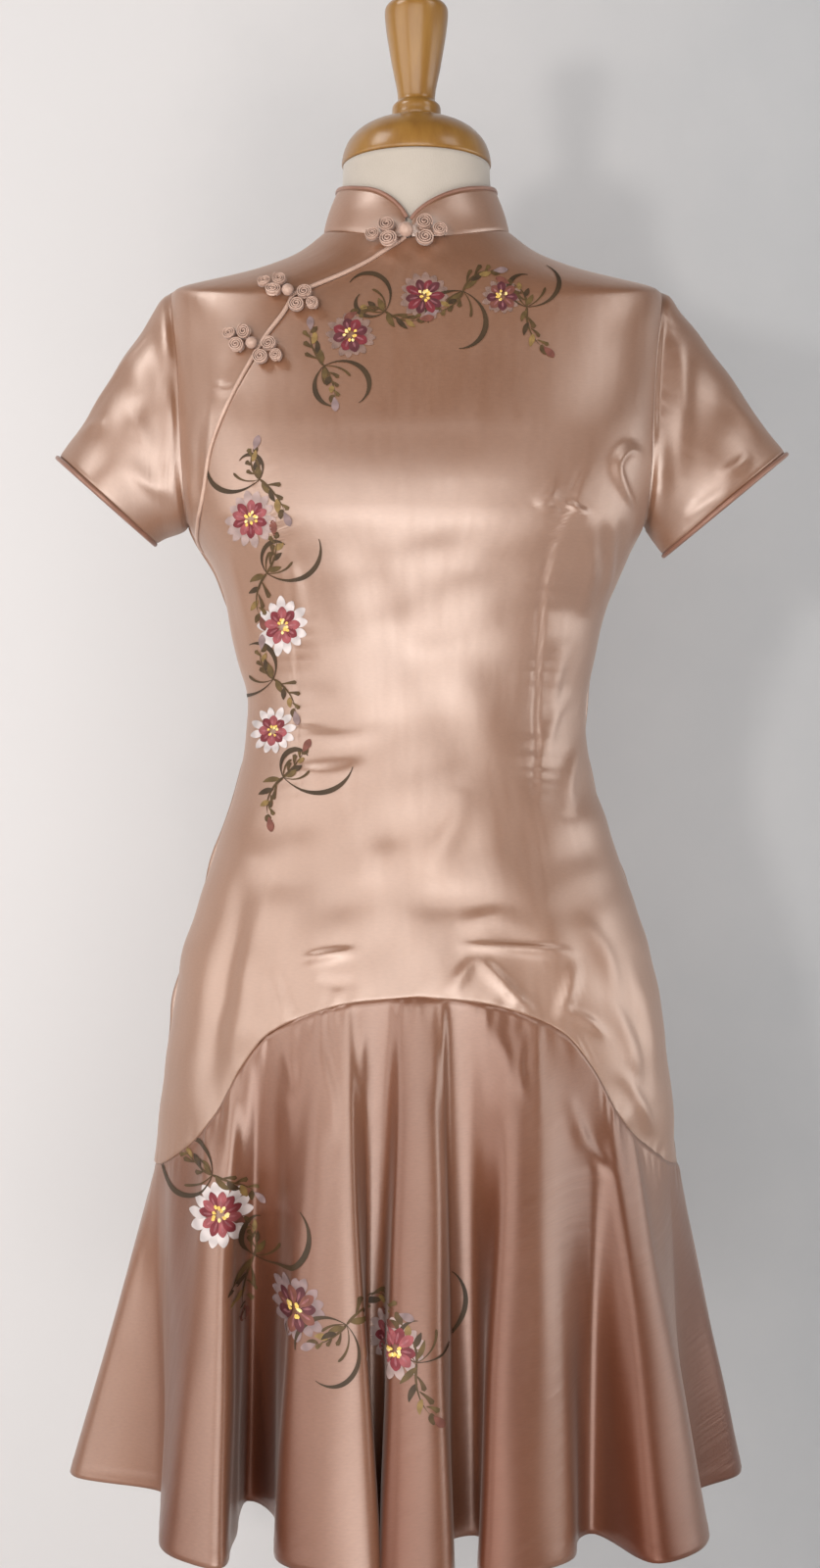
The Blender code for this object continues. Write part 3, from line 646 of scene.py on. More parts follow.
def satin(name, dark, light, roughness, anisotropic=0.55, ior=3.0, painted_shade_in_folds=False):
    """Satin: a warm diffuse ground under a strong, wide gloss that is drawn out along the weft."""
    nodes = Nodes(name)
    weave = nodes.add("ShaderNodeUVMap", uv_map="Weave").outputs["UV"]
    place = nodes.add("ShaderNodeTexCoord").outputs["Object"]
    clouds = nodes.noise(place, 7.0, 3.0)
    slubs = nodes.noise(stretched(nodes, weave, (240, 700, 1)), 1.0, 3.0)
    mixed = nodes.math(
        "ADD", nodes.math("MULTIPLY", clouds, 0.6), nodes.math("MULTIPLY", slubs, 0.4))
    colour = nodes.ramp(mixed, (0.36, dark), (0.64, light))
    # Painted shade: the flounce's Fold colour layer darkens its colour and its gloss down in the
    # valleys.
    if painted_shade_in_folds:
        shade = nodes.add("ShaderNodeVertexColor", layer_name="Fold").outputs["Color"]
        colour = nodes.multiply(colour, shade)
        gloss = nodes.add("ShaderNodeRGB").outputs["Color"]
        gloss.default_value = GLOSS
        nodes.feed(nodes.multiply(shade, gloss), "Specular Tint")
    nodes.feed(colour, "Base Color")
    streaks = nodes.noise(stretched(nodes, weave, (45, 6, 1)), 3.0, 3.0)
    spread = nodes.math("MULTIPLY_ADD", streaks, 0.14)
    spread.node.inputs[2].default_value = roughness - 0.07
    nodes.feed(spread, "Roughness")
    threads = nodes.noise(stretched(nodes, weave, (2600, 420, 1)), 1.0, 2.0)
    ripples = nodes.noise(stretched(nodes, weave, (60, 28, 1)), 1.0, 3.0)
    fine = nodes.bump(threads, 0.22, 0.00012)
    nodes.feed(nodes.bump(ripples, 0.30, 0.0008, fine), "Normal")
    tangent = nodes.add("ShaderNodeTangent", direction_type="UV_MAP", uv_map="Weave")
    nodes.join(tangent, "Tangent", nodes.shader, "Tangent")
    nodes.set(
        IOR=ior, Anisotropic=anisotropic, Specular_Tint=GLOSS, Metallic=0.05,
        Sheen_Weight=0.18, Sheen_Roughness=0.4, Sheen_Tint=(1.0, 0.85, 0.78, 1.0),
    )
    return nodes.material


def cord_satin(name, dark, light, roughness=0.42):
    """The same cloth as a narrow bias tube, whose threads run slantwise round it."""
    nodes = Nodes(name)
    place = nodes.add("ShaderNodeTexCoord").outputs["Object"]
    nodes.feed(nodes.ramp(nodes.noise(place, 60.0), (0.35, dark), (0.7, light)), "Base Color")
    threads = nodes.noise(stretched(nodes, place, (1500, 900, 1500)), 1.0)
    nodes.feed(nodes.bump(threads, 0.25, 0.00015), "Normal")
    nodes.set(
        Roughness=roughness, IOR=1.75, Metallic=0.1, Specular_Tint=(1.0, 0.88, 0.82, 1.0),
        Sheen_Weight=0.2, Sheen_Roughness=0.4,
    )
    return nodes.material


def jersey_cover():
    """The form's cream knit cover: fine upright ribs, soft and matte."""
    nodes = Nodes("cream_jersey")
    place = nodes.add("ShaderNodeTexCoord").outputs["Object"]
    clouds = nodes.noise(place, 18.0, 4.0)
    colours = ((0.3, (0.41, 0.355, 0.30)), (0.7, (0.47, 0.41, 0.35)))
    nodes.feed(nodes.ramp(clouds, *colours), "Base Color")
    loops = nodes.noise(stretched(nodes, place, (1400, 1400, 500)), 1.0, 1.0)
    nodes.feed(nodes.bump(loops, 0.5, 0.0004), "Normal")
    nodes.set(Roughness=0.88, Sheen_Weight=0.35, Sheen_Roughness=0.5)
    return nodes.material


WOOD_DARK = (0.165, 0.066, 0.012)
WOOD_MIDDLE = (0.25, 0.118, 0.023)
WOOD_PALE = (0.32, 0.165, 0.038)


def varnished_wood():
    """Turned beech or maple under an orange-yellow varnish, its rings running upwards."""
    nodes = Nodes("honey_varnished_wood")
    place = nodes.add("ShaderNodeTexCoord").outputs["Object"]
    grain = nodes.noise(stretched(nodes, place, (60, 60, 5)), 1.0, 5.0, 0.6)
    broad = nodes.noise(stretched(nodes, place, (14, 14, 2.5)), 1.0, 2.0)
    mixed = nodes.math(
        "ADD", nodes.math("MULTIPLY", grain, 0.45), nodes.math("MULTIPLY", broad, 0.55))
    colours = ((0.36, WOOD_DARK), (0.50, WOOD_MIDDLE), (0.64, WOOD_PALE))
    nodes.feed(nodes.ramp(mixed, *colours), "Base Color")
    pores = nodes.noise(stretched(nodes, place, (500, 500, 30)), 1.0, 2.0)
    nodes.feed(nodes.bump(pores, 0.12, 0.0002), "Normal")
    nodes.set(Roughness=0.34, Coat_Weight=0.5, Coat_Roughness=0.20, IOR=1.5)
    return nodes.material


def pole_metal():
    nodes = Nodes("brushed_pole")
    place = nodes.add("ShaderNodeTexCoord").outputs["Object"]
    brushed = nodes.noise(stretched(nodes, place, (300, 300, 8)), 1.0, 3.0)
    colours = ((0.3, (0.42, 0.41, 0.40)), (0.7, (0.60, 0.59, 0.57)))
    nodes.feed(nodes.ramp(brushed, *colours), "Base Color")
    nodes.feed(nodes.bump(brushed, 0.1, 0.0002), "Normal")
    nodes.set(Metallic=1.0, Roughness=0.36)
    return nodes.material


def paint():
    """Fabric paint, whose colour each stroke carries in its own points."""
    nodes = Nodes("fabric_paint")
    colour = nodes.add("ShaderNodeVertexColor", layer_name="Paint")
    nodes.join(colour, "Color", nodes.shader, "Base Color")
    place = nodes.add("ShaderNodeTexCoord").outputs["Object"]
    nodes.feed(nodes.bump(nodes.noise(place, 900.0), 0.3, 0.0002), "Normal")
    nodes.set(Roughness=0.6, Metallic=0.0, IOR=1.42)
    return nodes.material


ROSE_DARK = (0.205, 0.086, 0.042)
ROSE_LIGHT = (0.262, 0.118, 0.061)
SATIN = satin("rose_satin", ROSE_DARK, ROSE_LIGHT, 0.36)
# The flounce is cut on the bias, so that its threads send less of the light forward; its base
# colour, darker than the bodice's, is painted shade, and the painted fold shade darkens it further
# in the valleys.
SHADED_BIAS_SATIN = satin(
    "rose_satin_on_the_bias_painted_shade", (0.165, 0.062, 0.030), (0.220, 0.092, 0.048), 0.34, 0.35, 2.3, True)
WRONG_SIDE = satin("rose_satin_wrong_side", (0.30, 0.16, 0.11), (0.34, 0.18, 0.13), 0.62, 0.2)
BINDING = cord_satin("rose_binding", (0.22, 0.10, 0.065), (0.28, 0.135, 0.09))
EDGING = cord_satin("rose_edging", (0.42, 0.265, 0.20), (0.53, 0.355, 0.275), 0.36)
CORD = cord_satin("rose_cord", (0.40, 0.255, 0.195), (0.50, 0.335, 0.265), 0.46)
JERSEY = jersey_cover()
WOOD = varnished_wood()
POLE = pole_metal()
PAINT = paint()


# ---------------------------------------------------------------- the bodice

HALF_GIRTH = 0.155           # turns a turn into metres of cloth, for the weave
TUCK = 0.0025                # how far a piece runs on under its neighbour
TUCK_DEPTH = 0.0024

FRONT_CREASES = (
    # just above the yoke seam
    Crease(((-0.088, 0.841), (-0.064, 0.846), (-0.042, 0.849)), 0.0050, 0.0016, 1.6),
    Crease(((-0.108, 0.836), (-0.100, 0.812), (-0.091, 0.792)), 0.0060, 0.0018, 1.5),
    Crease(((-0.072, 0.830), (-0.058, 0.824), (-0.044, 0.826)), 0.0050, -0.0010, 1.0),
    Crease(((0.028, 0.853), (0.070, 0.851), (0.122, 0.845)), 0.0048, 0.0018, 1.7),
    Crease(((0.043, 0.847), (0.064, 0.824), (0.088, 0.800)), 0.0055, 0.0019, 1.4),
    Crease(((0.043, 0.847), (0.034, 0.832), (0.024, 0.817)), 0.0050, 0.0015, 1.4),
    Crease(((0.118, 0.842), (0.112, 0.818), (0.103, 0.794)), 0.0055, 0.0018, 1.5),
    Crease(((0.105, 0.803), (0.124, 0.797), (0.142, 0.783)), 0.0045, 0.0014, 1.5),
    Crease(((0.030, 0.866), (0.055, 0.872), (0.085, 0.866)), 0.0080, 0.0011, 1.0),
    Crease(((0.120, 0.872), (0.139, 0.846), (0.150, 0.806)), 0.0080, 0.0014, 1.2),
    Crease(((0.142, 0.812), (0.160, 0.776), (0.168, 0.738)), 0.0070, 0.0016, 1.3),
    Crease(((0.158, 0.842), (0.174, 0.790), (0.181, 0.728)), 0.0080, 0.0015, 1.2),
    Crease(((0.150, 0.760), (0.166, 0.735), (0.180, 0.705)), 0.0055, 0.0012, 1.4),
    Crease(((0.008, 0.905), (0.026, 0.938), (0.034, 0.968)), 0.0100, 0.0012, 1.2),
    Crease(((-0.020, 0.880), (0.020, 0.886), (0.060, 0.880)), 0.0120, -0.0010, 1.0),
    # the long soft fold down the wearer's right hip
    Crease(((-0.128, 0.915), (-0.139, 0.842), (-0.150, 0.787), (-0.157, 0.722)),
           0.0100, -0.0032, 0.6),
    Crease(((-0.112, 0.900), (-0.124, 0.842), (-0.134, 0.790), (-0.141, 0.735)),
           0.0120, 0.0026, 0.8),
    # round the waist
    Crease(((-0.105, 1.012), (-0.060, 1.004), (-0.020, 1.010)), 0.0080, 0.0011, 1.3),
    Crease(((-0.112, 0.985), (-0.070, 0.978), (-0.035, 0.986)), 0.0080, 0.0010, 1.3),
    Crease(((0.118, 1.040), (0.104, 1.020), (0.096, 0.990)), 0.0060, 0.0012, 1.3),
    Crease(((0.128, 1.006), (0.118, 0.980), (0.114, 0.945)), 0.0070, 0.0014, 1.2),
    Crease(((0.112, 1.075), (0.104, 1.045), (0.100, 1.020)), 0.0060, 0.0011, 1.2),
    # under the bust, from the wearer's left armpit to the dart
    Crease(((0.172, 1.214), (0.158, 1.217), (0.149, 1.206), (0.154, 1.190), (0.166, 1.176)),
           0.0050, 0.0026, 1.5),
    Crease(((0.146, 1.168), (0.145, 1.140), (0.139, 1.105)), 0.0050, 0.0015, 1.6),
    Crease(((0.166, 1.166), (0.156, 1.140), (0.144, 1.112)), 0.0055, 0.0014, 1.3),
    Crease(((0.128, 1.168), (0.130, 1.135), (0.126, 1.095)), 0.0070, 0.0012, 1.3),
    Crease(((0.102, 1.188), (0.096, 1.178), (0.086, 1.172)), 0.0045, 0.0012, 1.4),
    Crease(((0.112, 1.176), (0.120, 1.170), (0.128, 1.168)), 0.0045, 0.0011, 1.4),
    Crease(((-0.102, 1.152), (-0.090, 1.120), (-0.086, 1.080)), 0.0070, 0.0012, 1.3),
    Crease(((-0.140, 1.150), (-0.132, 1.115), (-0.124, 1.075)), 0.0070, 0.0015, 1.3),
    Crease(((-0.150, 1.120), (-0.141, 1.085), (-0.131, 1.050)), 0.0060, 0.0013, 1.3),
)
UNDERLAP_CREASES = (
    Crease(((-0.150, 1.262), (-0.152, 1.215), (-0.150, 1.165)), 0.0042, 0.0024, 1.5),
    Crease(((-0.162, 1.244), (-0.164, 1.205), (-0.160, 1.172)), 0.0050, -0.0018, 1.0),
    Crease(((-0.150, 1.268), (-0.140, 1.262), (-0.128, 1.268)), 0.0035, 0.0016, 1.4),
    Crease(((-0.146, 1.240), (-0.138, 1.252), (-0.130, 1.256)), 0.0035, 0.0014, 1.4),
    Crease(((-0.172, 1.205), (-0.170, 1.185), (-0.166, 1.168)), 0.0040, 0.0016, 1.3),
)
# One dart for each side. This is the wearer's left one; the other mirrors it.
DART = ((0.1250, 1.208), (0.1120, 1.178), (0.0974, 1.140), (0.0912, 1.090), (0.0895, 1.039),
        (0.0890, 0.984), (0.0862, 0.945))


def side_levels():
    """Levels evenly spaced up the side of the dress, closer beside both seams."""
    dense = np.linspace(YOKE_SEAM[-1, 1], NECK_POINT, 4000)
    arcs = run_length(torso(math.pi / 2, dense), 0)
    even = np.interp(shares_along(arcs[-1]) * arcs[-1], arcs, dense)
    near = np.array([0.0003, 0.0010, 0.0020])
    return np.unique(np.concatenate([even, UNDERARM + near, SHOULDER_TIP - near]))


def panel_places(levels, left, right, length, seam_bottom=True):
    """The turn and the level of each point of a panel, its lowest rows following the seam."""
    start, end = left(levels)[:, None], right(levels)[:, None]
    turn = start + (end - start) * shares_along(length)
    level = np.broadcast_to(levels[:, None], turn.shape).copy()
    if seam_bottom:
        low = levels < WAIST
        seam = yoke(turn[low])
        share = (levels[low, None] - levels[0]) / (WAIST - levels[0])
        level[low] = seam + (WAIST - seam) * share
    return turn, level


def ease_shoulder(points, level, edges):
    """Rounds the cloth over the shoulder, where the torso turns from upright to sloping."""
    steps = np.arange(-9, 10)
    weights = np.exp(-(steps / 4.5) ** 2)
    rows = np.arange(len(points))
    spread = [points[np.clip(rows + step, 0, len(rows) - 1)] * weight
              for step, weight in zip(steps, weights)]
    smooth = np.sum(spread, axis=0) / weights.sum()
    away = np.minimum(edges.left, edges.right)
    share = np.exp(-((level - SHOULDER_TIP) / 0.016) ** 2) * np.clip(away / 0.012, 0, 1)
    share = share * (edges.top > 0.03)
    return points + (smooth - points) * share[..., None]


def seam_rolls(edges):
    return roll(edges.left) + roll(edges.right) + roll(edges.bottom) + roll(edges.top)


def darts(x, z):
    """Two sewn darts: a crease pulled in along each, with small puckers on both sides."""
    total = np.zeros_like(x)
    for mirror, seed in ((1, 3), (-1, 4)):
        near = mirror * x > 0.05
        length = 0.27
        distance, side, share = measure_line(mirror * x[near], z[near], DART)
        fade = np.clip(share * 12, 0, 1) * np.clip((1 - share) * 8, 0, 1)
        groove = -0.0012 * np.exp(-(distance / 0.0017) ** 2)
        step = 0.0005 * np.tanh(side / 0.0015) * np.exp(-(distance / 0.010) ** 2)
        ripple = puckers(share * length, distance, 0.0105, 0.00042, 0.013, seed)
        total[near] += fade * (groove + step + ripple)
    return total


def front_bodice():
    turn, level = panel_places(side_levels(), front_right_edge, panel_edge, 0.44)
    points = torso(turn, level)
    edges = edge_distances(points)
    points = ease_shoulder(points, level, edges)
    x, z = points[..., 0], points[..., 2]
    height = 1.6 * creased(x, z, FRONT_CREASES) + darts(x, z) + seam_rolls(edges)
    height += puckers(edges.left, edges.bottom, 0.013, 0.00050, 0.012, 11)
    below = np.clip((1.19 - z) / 0.05, 0, 1)
    height += swell(x, z, 0.030, 0.085, 0.00050, 21) * below
    height += swell(x, z, 0.120, 0.300, 0.0010, 22) * (0.35 + 0.65 * below)
    return turn, level, points + outward(turn, level) * height[..., None]


def underlap():
    levels = side_levels()
    levels = levels[levels > UNDERLAP_BOTTOM]

    def right(level):
        return np.minimum(front_right_edge(level) + OVERLAP, UNDERLAP_END)
    turn, level = panel_places(levels, lambda l: -panel_edge(l), right, 0.12, seam_bottom=False)
    points = torso(turn, level)
    edges = edge_distances(points)
    points = ease_shoulder(points, level, edges)
    x, z = points[..., 0], points[..., 2]
    under = np.clip((turn - front_right_edge(level)) / math.radians(8) + 1, 0, 1)
    height = -0.0024 * under ** 2 + roll(edges.left) + roll(edges.top)
    height += creased(x, z, UNDERLAP_CREASES) * (1 - under ** 3)
    height += swell(x, z, 0.120, 0.300, 0.0010, 22) * 0.35
    return turn, level, points + outward(turn, level) * height[..., None]


BACK_CREASES = (
    Crease(((-0.090, 1.035), (-0.040, 1.028), (0.010, 1.032)), 0.0090, 0.0018, 1.4),
    Crease(((-0.020, 1.006), (0.040, 1.000), (0.095, 1.010)), 0.0085, 0.0019, 1.4),
    Crease(((-0.095, 0.982), (-0.050, 0.974), (-0.010, 0.980)), 0.0090, 0.0015, 1.3),
    Crease(((0.010, 1.058), (0.050, 1.052), (0.090, 1.060)), 0.0085, 0.0014, 1.3),
    Crease(((0.030, 0.852), (0.075, 0.850), (0.120, 0.843)), 0.0055, 0.0016, 1.5),
    Crease(((-0.115, 0.842), (-0.070, 0.850), (-0.030, 0.852)), 0.0055, 0.0015, 1.5),
    Crease(((0.060, 0.842), (0.078, 0.822), (0.098, 0.796)), 0.0055, 0.0015, 1.4),
    Crease(((-0.112, 0.836), (-0.098, 0.812), (-0.090, 0.794)), 0.0055, 0.0015, 1.4),
    Crease(((0.158, 1.170), (0.150, 1.135), (0.138, 1.100)), 0.0060, 0.0015, 1.4),
    Crease(((-0.160, 1.170), (-0.151, 1.140), (-0.141, 1.105)), 0.0060, 0.0015, 1.4),
    Crease(((0.150, 1.260), (0.120, 1.290), (0.085, 1.305)), 0.0110, 0.0014, 1.2),
    Crease(((-0.150, 1.265), (-0.120, 1.292), (-0.080, 1.306)), 0.0110, 0.0014, 1.2),
    Crease(((0.140, 0.840), (0.158, 0.790), (0.170, 0.735)), 0.0090, 0.0018, 1.2),
    Crease(((-0.140, 0.845), (-0.156, 0.790), (-0.168, 0.735)), 0.0090, 0.0018, 1.2),
)


def back_bodice():
    levels = side_levels()
    turn, level = panel_places(
        levels, lambda l: math.pi - panel_edge(l), lambda l: math.pi + panel_edge(l), 0.42)
    height = np.zeros_like(turn)
    for column, along in ((0, -1), (-1, 1)):
        turn[:, column] += along * TUCK / ring_at(levels)[:, 0]
        height[:, column] = -TUCK_DEPTH
    points = torso(turn, level)
    edges = edge_distances(points)
    points = ease_shoulder(points, level, edges)
    x, z = points[..., 0], points[..., 2]
    height += 1.3 * creased(x, z, BACK_CREASES) + darts(x, z) + seam_rolls(edges)
    height += puckers(edges.left, edges.bottom, 0.013, 0.00050, 0.012, 12)
    height += swell(x, z, 0.035, 0.090, 0.00045, 23) + swell(x, z, 0.120, 0.300, 0.0010, 24)
    return turn, level, points + outward(turn, level) * height[..., None]


def torso_cloth(name, places, node):
    turn, level, points = places
    obj = cloth_piece(name, points, (SATIN, WRONG_SIDE))
    set_weave_map(obj, turn * HALF_GIRTH, level)
    stand_for(obj, node)
    return obj


# ---------------------------------------------------------------- the flounce

FLOUNCE_SPACING = 0.0042
FLOUNCE_CREASES = (
    Crease(((-0.096, 0.778), (-0.091, 0.765), (-0.088, 0.742)), 0.0050, 0.0018, 1.4),
    Crease(((-0.072, 0.782), (-0.062, 0.750), (-0.060, 0.712)), 0.0060, 0.0018, 1.4),
    Crease(((0.054, 0.795), (0.064, 0.775), (0.068, 0.748)), 0.0055, 0.0016, 1.4),
    Crease(((0.078, 0.790), (0.074, 0.765), (0.080, 0.740)), 0.0050, 0.0014, 1.4),
    Crease(((0.116, 0.725), (0.128, 0.702), (0.146, 0.682)), 0.0055, 0.0020, 1.5),
    Crease(((0.110, 0.745), (0.118, 0.720), (0.120, 0.690)), 0.0055, 0.0014, 1.3),
    Crease(((0.020, 0.800), (0.016, 0.770), (0.020, 0.735)), 0.0060, 0.0012, 1.3),
    Crease(((-0.035, 0.805), (-0.040, 0.775), (-0.036, 0.740)), 0.0060, 0.0013, 1.3),
)


def flounce(turn_from, turn_to, creases, seed):
    """The flounce between two turns of its seam, its rows running up from the hem."""
    curve = hem_curve()
    shares = np.linspace(-0.3, 1.3, 24001)
    turn, x, y = curve(shares % 1.0).T
    turn = np.maximum.accumulate(turn + 2 * math.pi * np.floor(shares))
    inside = (turn >= turn_from) & (turn <= turn_to)
    turn, x, y = turn[inside], x[inside], y[inside]
    arcs = np.concatenate([[0], np.cumsum(np.hypot(np.diff(x), np.diff(y)))])
    even = shares_along(arcs[-1], FLOUNCE_SPACING) * arcs[-1]
    turn, x, y = (np.interp(even, arcs, value) for value in (turn, x, y))
    level = yoke(turn)
    top = torso(turn, level)
    sideways = x / np.hypot(x, y)
    bottom = np.column_stack([x, y, HEM_HEIGHT + HEM_RISE * sideways ** 2])
    drop = np.linspace(1, 0, 92)[:, None, None]
    points = top + (bottom - top) * drop
    edges = edge_distances(points)
    normals = grid_normals(points)
    height = creased(points[..., 0], points[..., 2], creases) + roll(edges.left) + roll(edges.right)
    height += puckers(edges.left[-1:], edges.top, 0.012, 0.00055, 0.014, seed)
    along_hem = np.broadcast_to(edges.left[:1], edges.left.shape)
    height += swell(along_hem, edges.bottom * 0.20, 0.030, 0.090, 0.0007, seed)
    height += 0.0004 * np.exp(-((edges.bottom - 0.007) / 0.0012) ** 2)
    height *= np.clip(edges.top / 0.004, 0, 1)
    points = points + normals * height[..., None]
    under = []
    for above, depth in ((0.0008, 0.0012), (0.0035, 0.0022)):
        under.append(over_torso(turn, level + above, np.full_like(turn, -depth)))
    return np.concatenate([points, np.array(under)])


# Painted shade in the flounce's valleys, which its colour and gloss take from the Fold colour layer.
FOLD_WINDOW = 36              # columns each way in which a valley looks for its ridges
FOLD_DEPTH = 0.070            # of a valley that is as deep in shade as any
FOLD_LEAN = 14                # columns by which the shade leans over to the next ridge's flank
PAINTED_FOLD_SHADE = (0.62, 0.78, 0.82)


def painted_fold_shade(points):
    """How much of its light each point keeps: all on a ridge, less down in a valley."""
    reach = np.hypot(points[0, :, 0], points[0, :, 1])
    shifts = range(-FOLD_WINDOW, FOLD_WINDOW + 1)
    columns = np.arange(len(reach))
    near = [reach[np.clip(columns + shift, 0, len(reach) - 1)] for shift in shifts]
    depth = np.clip((np.max(near, axis=0) - reach) / FOLD_DEPTH, 0, 1)
    depth = np.convolve(np.pad(depth, 5, mode="edge"), np.full(11, 1 / 11), mode="valid")
    depth = depth[np.clip(columns - FOLD_LEAN, 0, len(reach) - 1)]
    down = np.linspace(1, 0, len(points))[:, None] ** 0.4
    return 1 - (depth ** 0.8 * down)[..., None] * np.array(PAINTED_FOLD_SHADE)


def flounce_cloth(name, points, node):
    obj = cloth_piece(name, points, (SHADED_BIAS_SATIN, WRONG_SIDE))
    # The painted valley shade goes into the Fold colour layer.
    set_point_colours(obj, "Fold", painted_fold_shade(points).reshape(-1, 3))
    stand_for(obj, node)
    return obj


# ---------------------------------------------------------------- sleeves, collar and piping

SLEEVE_AROUND = 60            # points up each side of the armhole
SLEEVE_ROWS = 44
SLEEVE_CREASES = {
    "right": (
        Crease(((-0.198, 1.330), (-0.228, 1.290), (-0.262, 1.240)), 0.0032, 0.0011, 1.5),
        Crease(((-0.190, 1.215), (-0.206, 1.232), (-0.218, 1.262)), 0.0100, 0.0020, 1.3),
        Crease(((-0.182, 1.190), (-0.200, 1.196), (-0.222, 1.214)), 0.0080, 0.0018, 1.3),
        Crease(((-0.262, 1.236), (-0.250, 1.244), (-0.236, 1.246)), 0.0055, 0.0014, 1.4),
    ),
    "left": (
        Crease(((0.190, 1.345), (0.186, 1.290), (0.182, 1.215)), 0.0090, -0.0056, 0.8),
        Crease(((0.203, 1.320), (0.202, 1.270), (0.198, 1.200)), 0.0090, 0.0028, 1.0),
        Crease(((0.228, 1.205), (0.243, 1.212), (0.256, 1.224)), 0.0055, 0.0017, 1.4),
        Crease(((0.206, 1.172), (0.222, 1.186), (0.244, 1.198)), 0.0060, 0.0017, 1.4),
        Crease(((0.238, 1.268), (0.254, 1.252), (0.270, 1.238)), 0.0075, 0.0015, 1.3),
    ),
}


def sleeve(cuff):
    """A sleeve, its rows from the cuff to the armhole and its columns up the front."""
    sweep = np.linspace(-math.pi / 2, math.pi / 2, SLEEVE_AROUND + 1)
    middle = (UNDERARM + SHOULDER_TIP) / 2
    level = middle + (SHOULDER_TIP - middle) * np.sin(sweep)
    gap = armhole_gap(level)
    level = np.concatenate([level, level[-2:0:-1]])
    gap = np.concatenate([gap, -gap[-2:0:-1]])
    angles = np.arctan2(gap / ARMHOLE_REACH, (middle - level) / (SHOULDER_TIP - middle))
    turn = cuff.side * (math.pi / 2 - gap)
    start = torso(turn, level) + [cuff.side * 2 * SEAM_GAP, 0, 0]
    end = cuff_loop(cuff, angles)
    length = np.linalg.norm(end - start, axis=1, keepdims=True)
    leave = np.array([cuff.side * SLEEVE_LEAVE[0], 0, SLEEVE_LEAVE[1]])
    first = start + leave * length * SLEEVE_START_PULL
    second = end - cuff_direction(cuff) * length * SLEEVE_END_PULL
    s = np.linspace(0, 1, SLEEVE_ROWS)[:, None, None]
    near = (1 - s) ** 3 * start + 3 * s * (1 - s) ** 2 * first
    points = near + 3 * s * s * (1 - s) * second + s ** 3 * end
    if cuff.side < 0:
        points = points[:, ::-1]
    from_armhole = run_length(points, 0)
    from_cuff = from_armhole[-1:] - from_armhole
    around = run_length(points, 1)
    normals = -grid_normals(points, closed=True)
    x, z = points[..., 0], points[..., 2]
    facing = np.where(points[..., 1] < 0, 1.0, 0.4)
    height = creased(x, z, SLEEVE_CREASES[cuff.name]) * facing
    height += 0.0016 * np.exp(-((from_armhole - 0.008) / 0.010) ** 2)
    height += puckers(around, from_armhole, 0.012, 0.0004, 0.012, 31 + cuff.side)
    height += swell(x, z, 0.035, 0.100, 0.0006, 33 + cuff.side)
    height -= 0.0008 * np.exp(-(from_cuff / 0.0016) ** 2)
    height *= np.clip(from_armhole / 0.005, 0, 1)
    points = points + normals * height[..., None]
    inside = cuff.side * (math.pi / 2 - gap * 1.03)
    tuck = over_torso(inside, middle + (level - middle) * 1.03, np.full_like(level, -0.0022))
    if cuff.side < 0:
        tuck = tuck[::-1]
    points = np.concatenate([tuck[None], points])[::-1]
    obj = cloth_piece(f"satin_sleeve_{cuff.name}", points, (SATIN, WRONG_SIDE), closed=True)
    stand_for(obj, f"sleeve_{cuff.name}")
    return obj


def cuff_piping(cuff):
    angles = np.linspace(0, 2 * math.pi, 160, endpoint=False)
    loop = cuff_loop(cuff, angles, beyond=CUFF_PIPING * 0.6)
    obj = tube(f"bound_cuff_{cuff.name}", loop, CUFF_PIPING, BINDING, cyclic=True)
    stand_for(obj, f"cuff_piping_{cuff.name}")


COLLAR_CLOTH = 0.0014


def collar():
    turns = collar_turns(170)
    shares = np.linspace(0, 1, 14)
    points = np.array([collar_point(turns, wing(turns) * share) for share in shares])
    normals = grid_normals(points)
    edges = edge_distances(points)
    bulge = 0.0010 * np.sin(math.pi * shares)[:, None] + roll(edges.bottom, 0.0003)
    around = edges.left
    bulge += 0.0005 * np.sin(around * 2 * math.pi / 0.11) * shares[:, None]
    points = points + normals * bulge[..., None]
    under = points[:1] * [0.985, 0.985, 1] - [0, 0, 0.0022]
    points = np.concatenate([under, points])
    obj = cloth_piece("standing_collar", points, (SATIN, WRONG_SIDE), thickness=COLLAR_CLOTH)
    stand_for(obj, "collar")
    edge = collar_point(turns, wing(turns))
    out = unit(edge * [1, 1, 0])
    beyond = unit(np.cross(out, np.gradient(edge, axis=0)))
    line = edge + beyond * PIPING * 0.55 - out * COLLAR_CLOTH / 2
    piping = tube("collar_binding", line, PIPING, BINDING)
    stand_for(piping, "collar_piping")
    return obj


def opening_piping():
    """The piping down the opening's edge, from the neck to where it goes into the side seam."""
    levels = np.linspace(NECK_POINT - 0.0012, OPENING[0, 0] + 0.002, 200)
    turns = opening_turn(levels)
    edge = over_torso(turns, levels, np.full_like(levels, 0.0002))
    beyond = unit(np.cross(outward(turns, levels), np.gradient(edge, axis=0)))
    piping = tube("opening_binding", edge - beyond * PIPING * 0.7, PIPING, EDGING)
    stand_for(piping, "opening_piping")


# ---------------------------------------------------------------- the painted flowers

OLIVE = (0.072, 0.040, 0.014)
MOSS = (0.100, 0.060, 0.020)
OCHRE = (0.200, 0.122, 0.040)
UMBER = (0.048, 0.027, 0.012)
CRIMSON = (0.150, 0.020, 0.026)
ROSE_RED = (0.270, 0.065, 0.070)
MAROON = (0.085, 0.020, 0.024)
RUSSET = (0.150, 0.050, 0.035)
PINK = (0.520, 0.210, 0.230)
WHITE = (0.520, 0.455, 0.440)
HAZE = (0.330, 0.235, 0.215)
LILAC = (0.215, 0.145, 0.140)
DUSK = (0.205, 0.125, 0.100)
YELLOW = (0.720, 0.470, 0.110)
LEMON = (0.800, 0.620, 0.260)

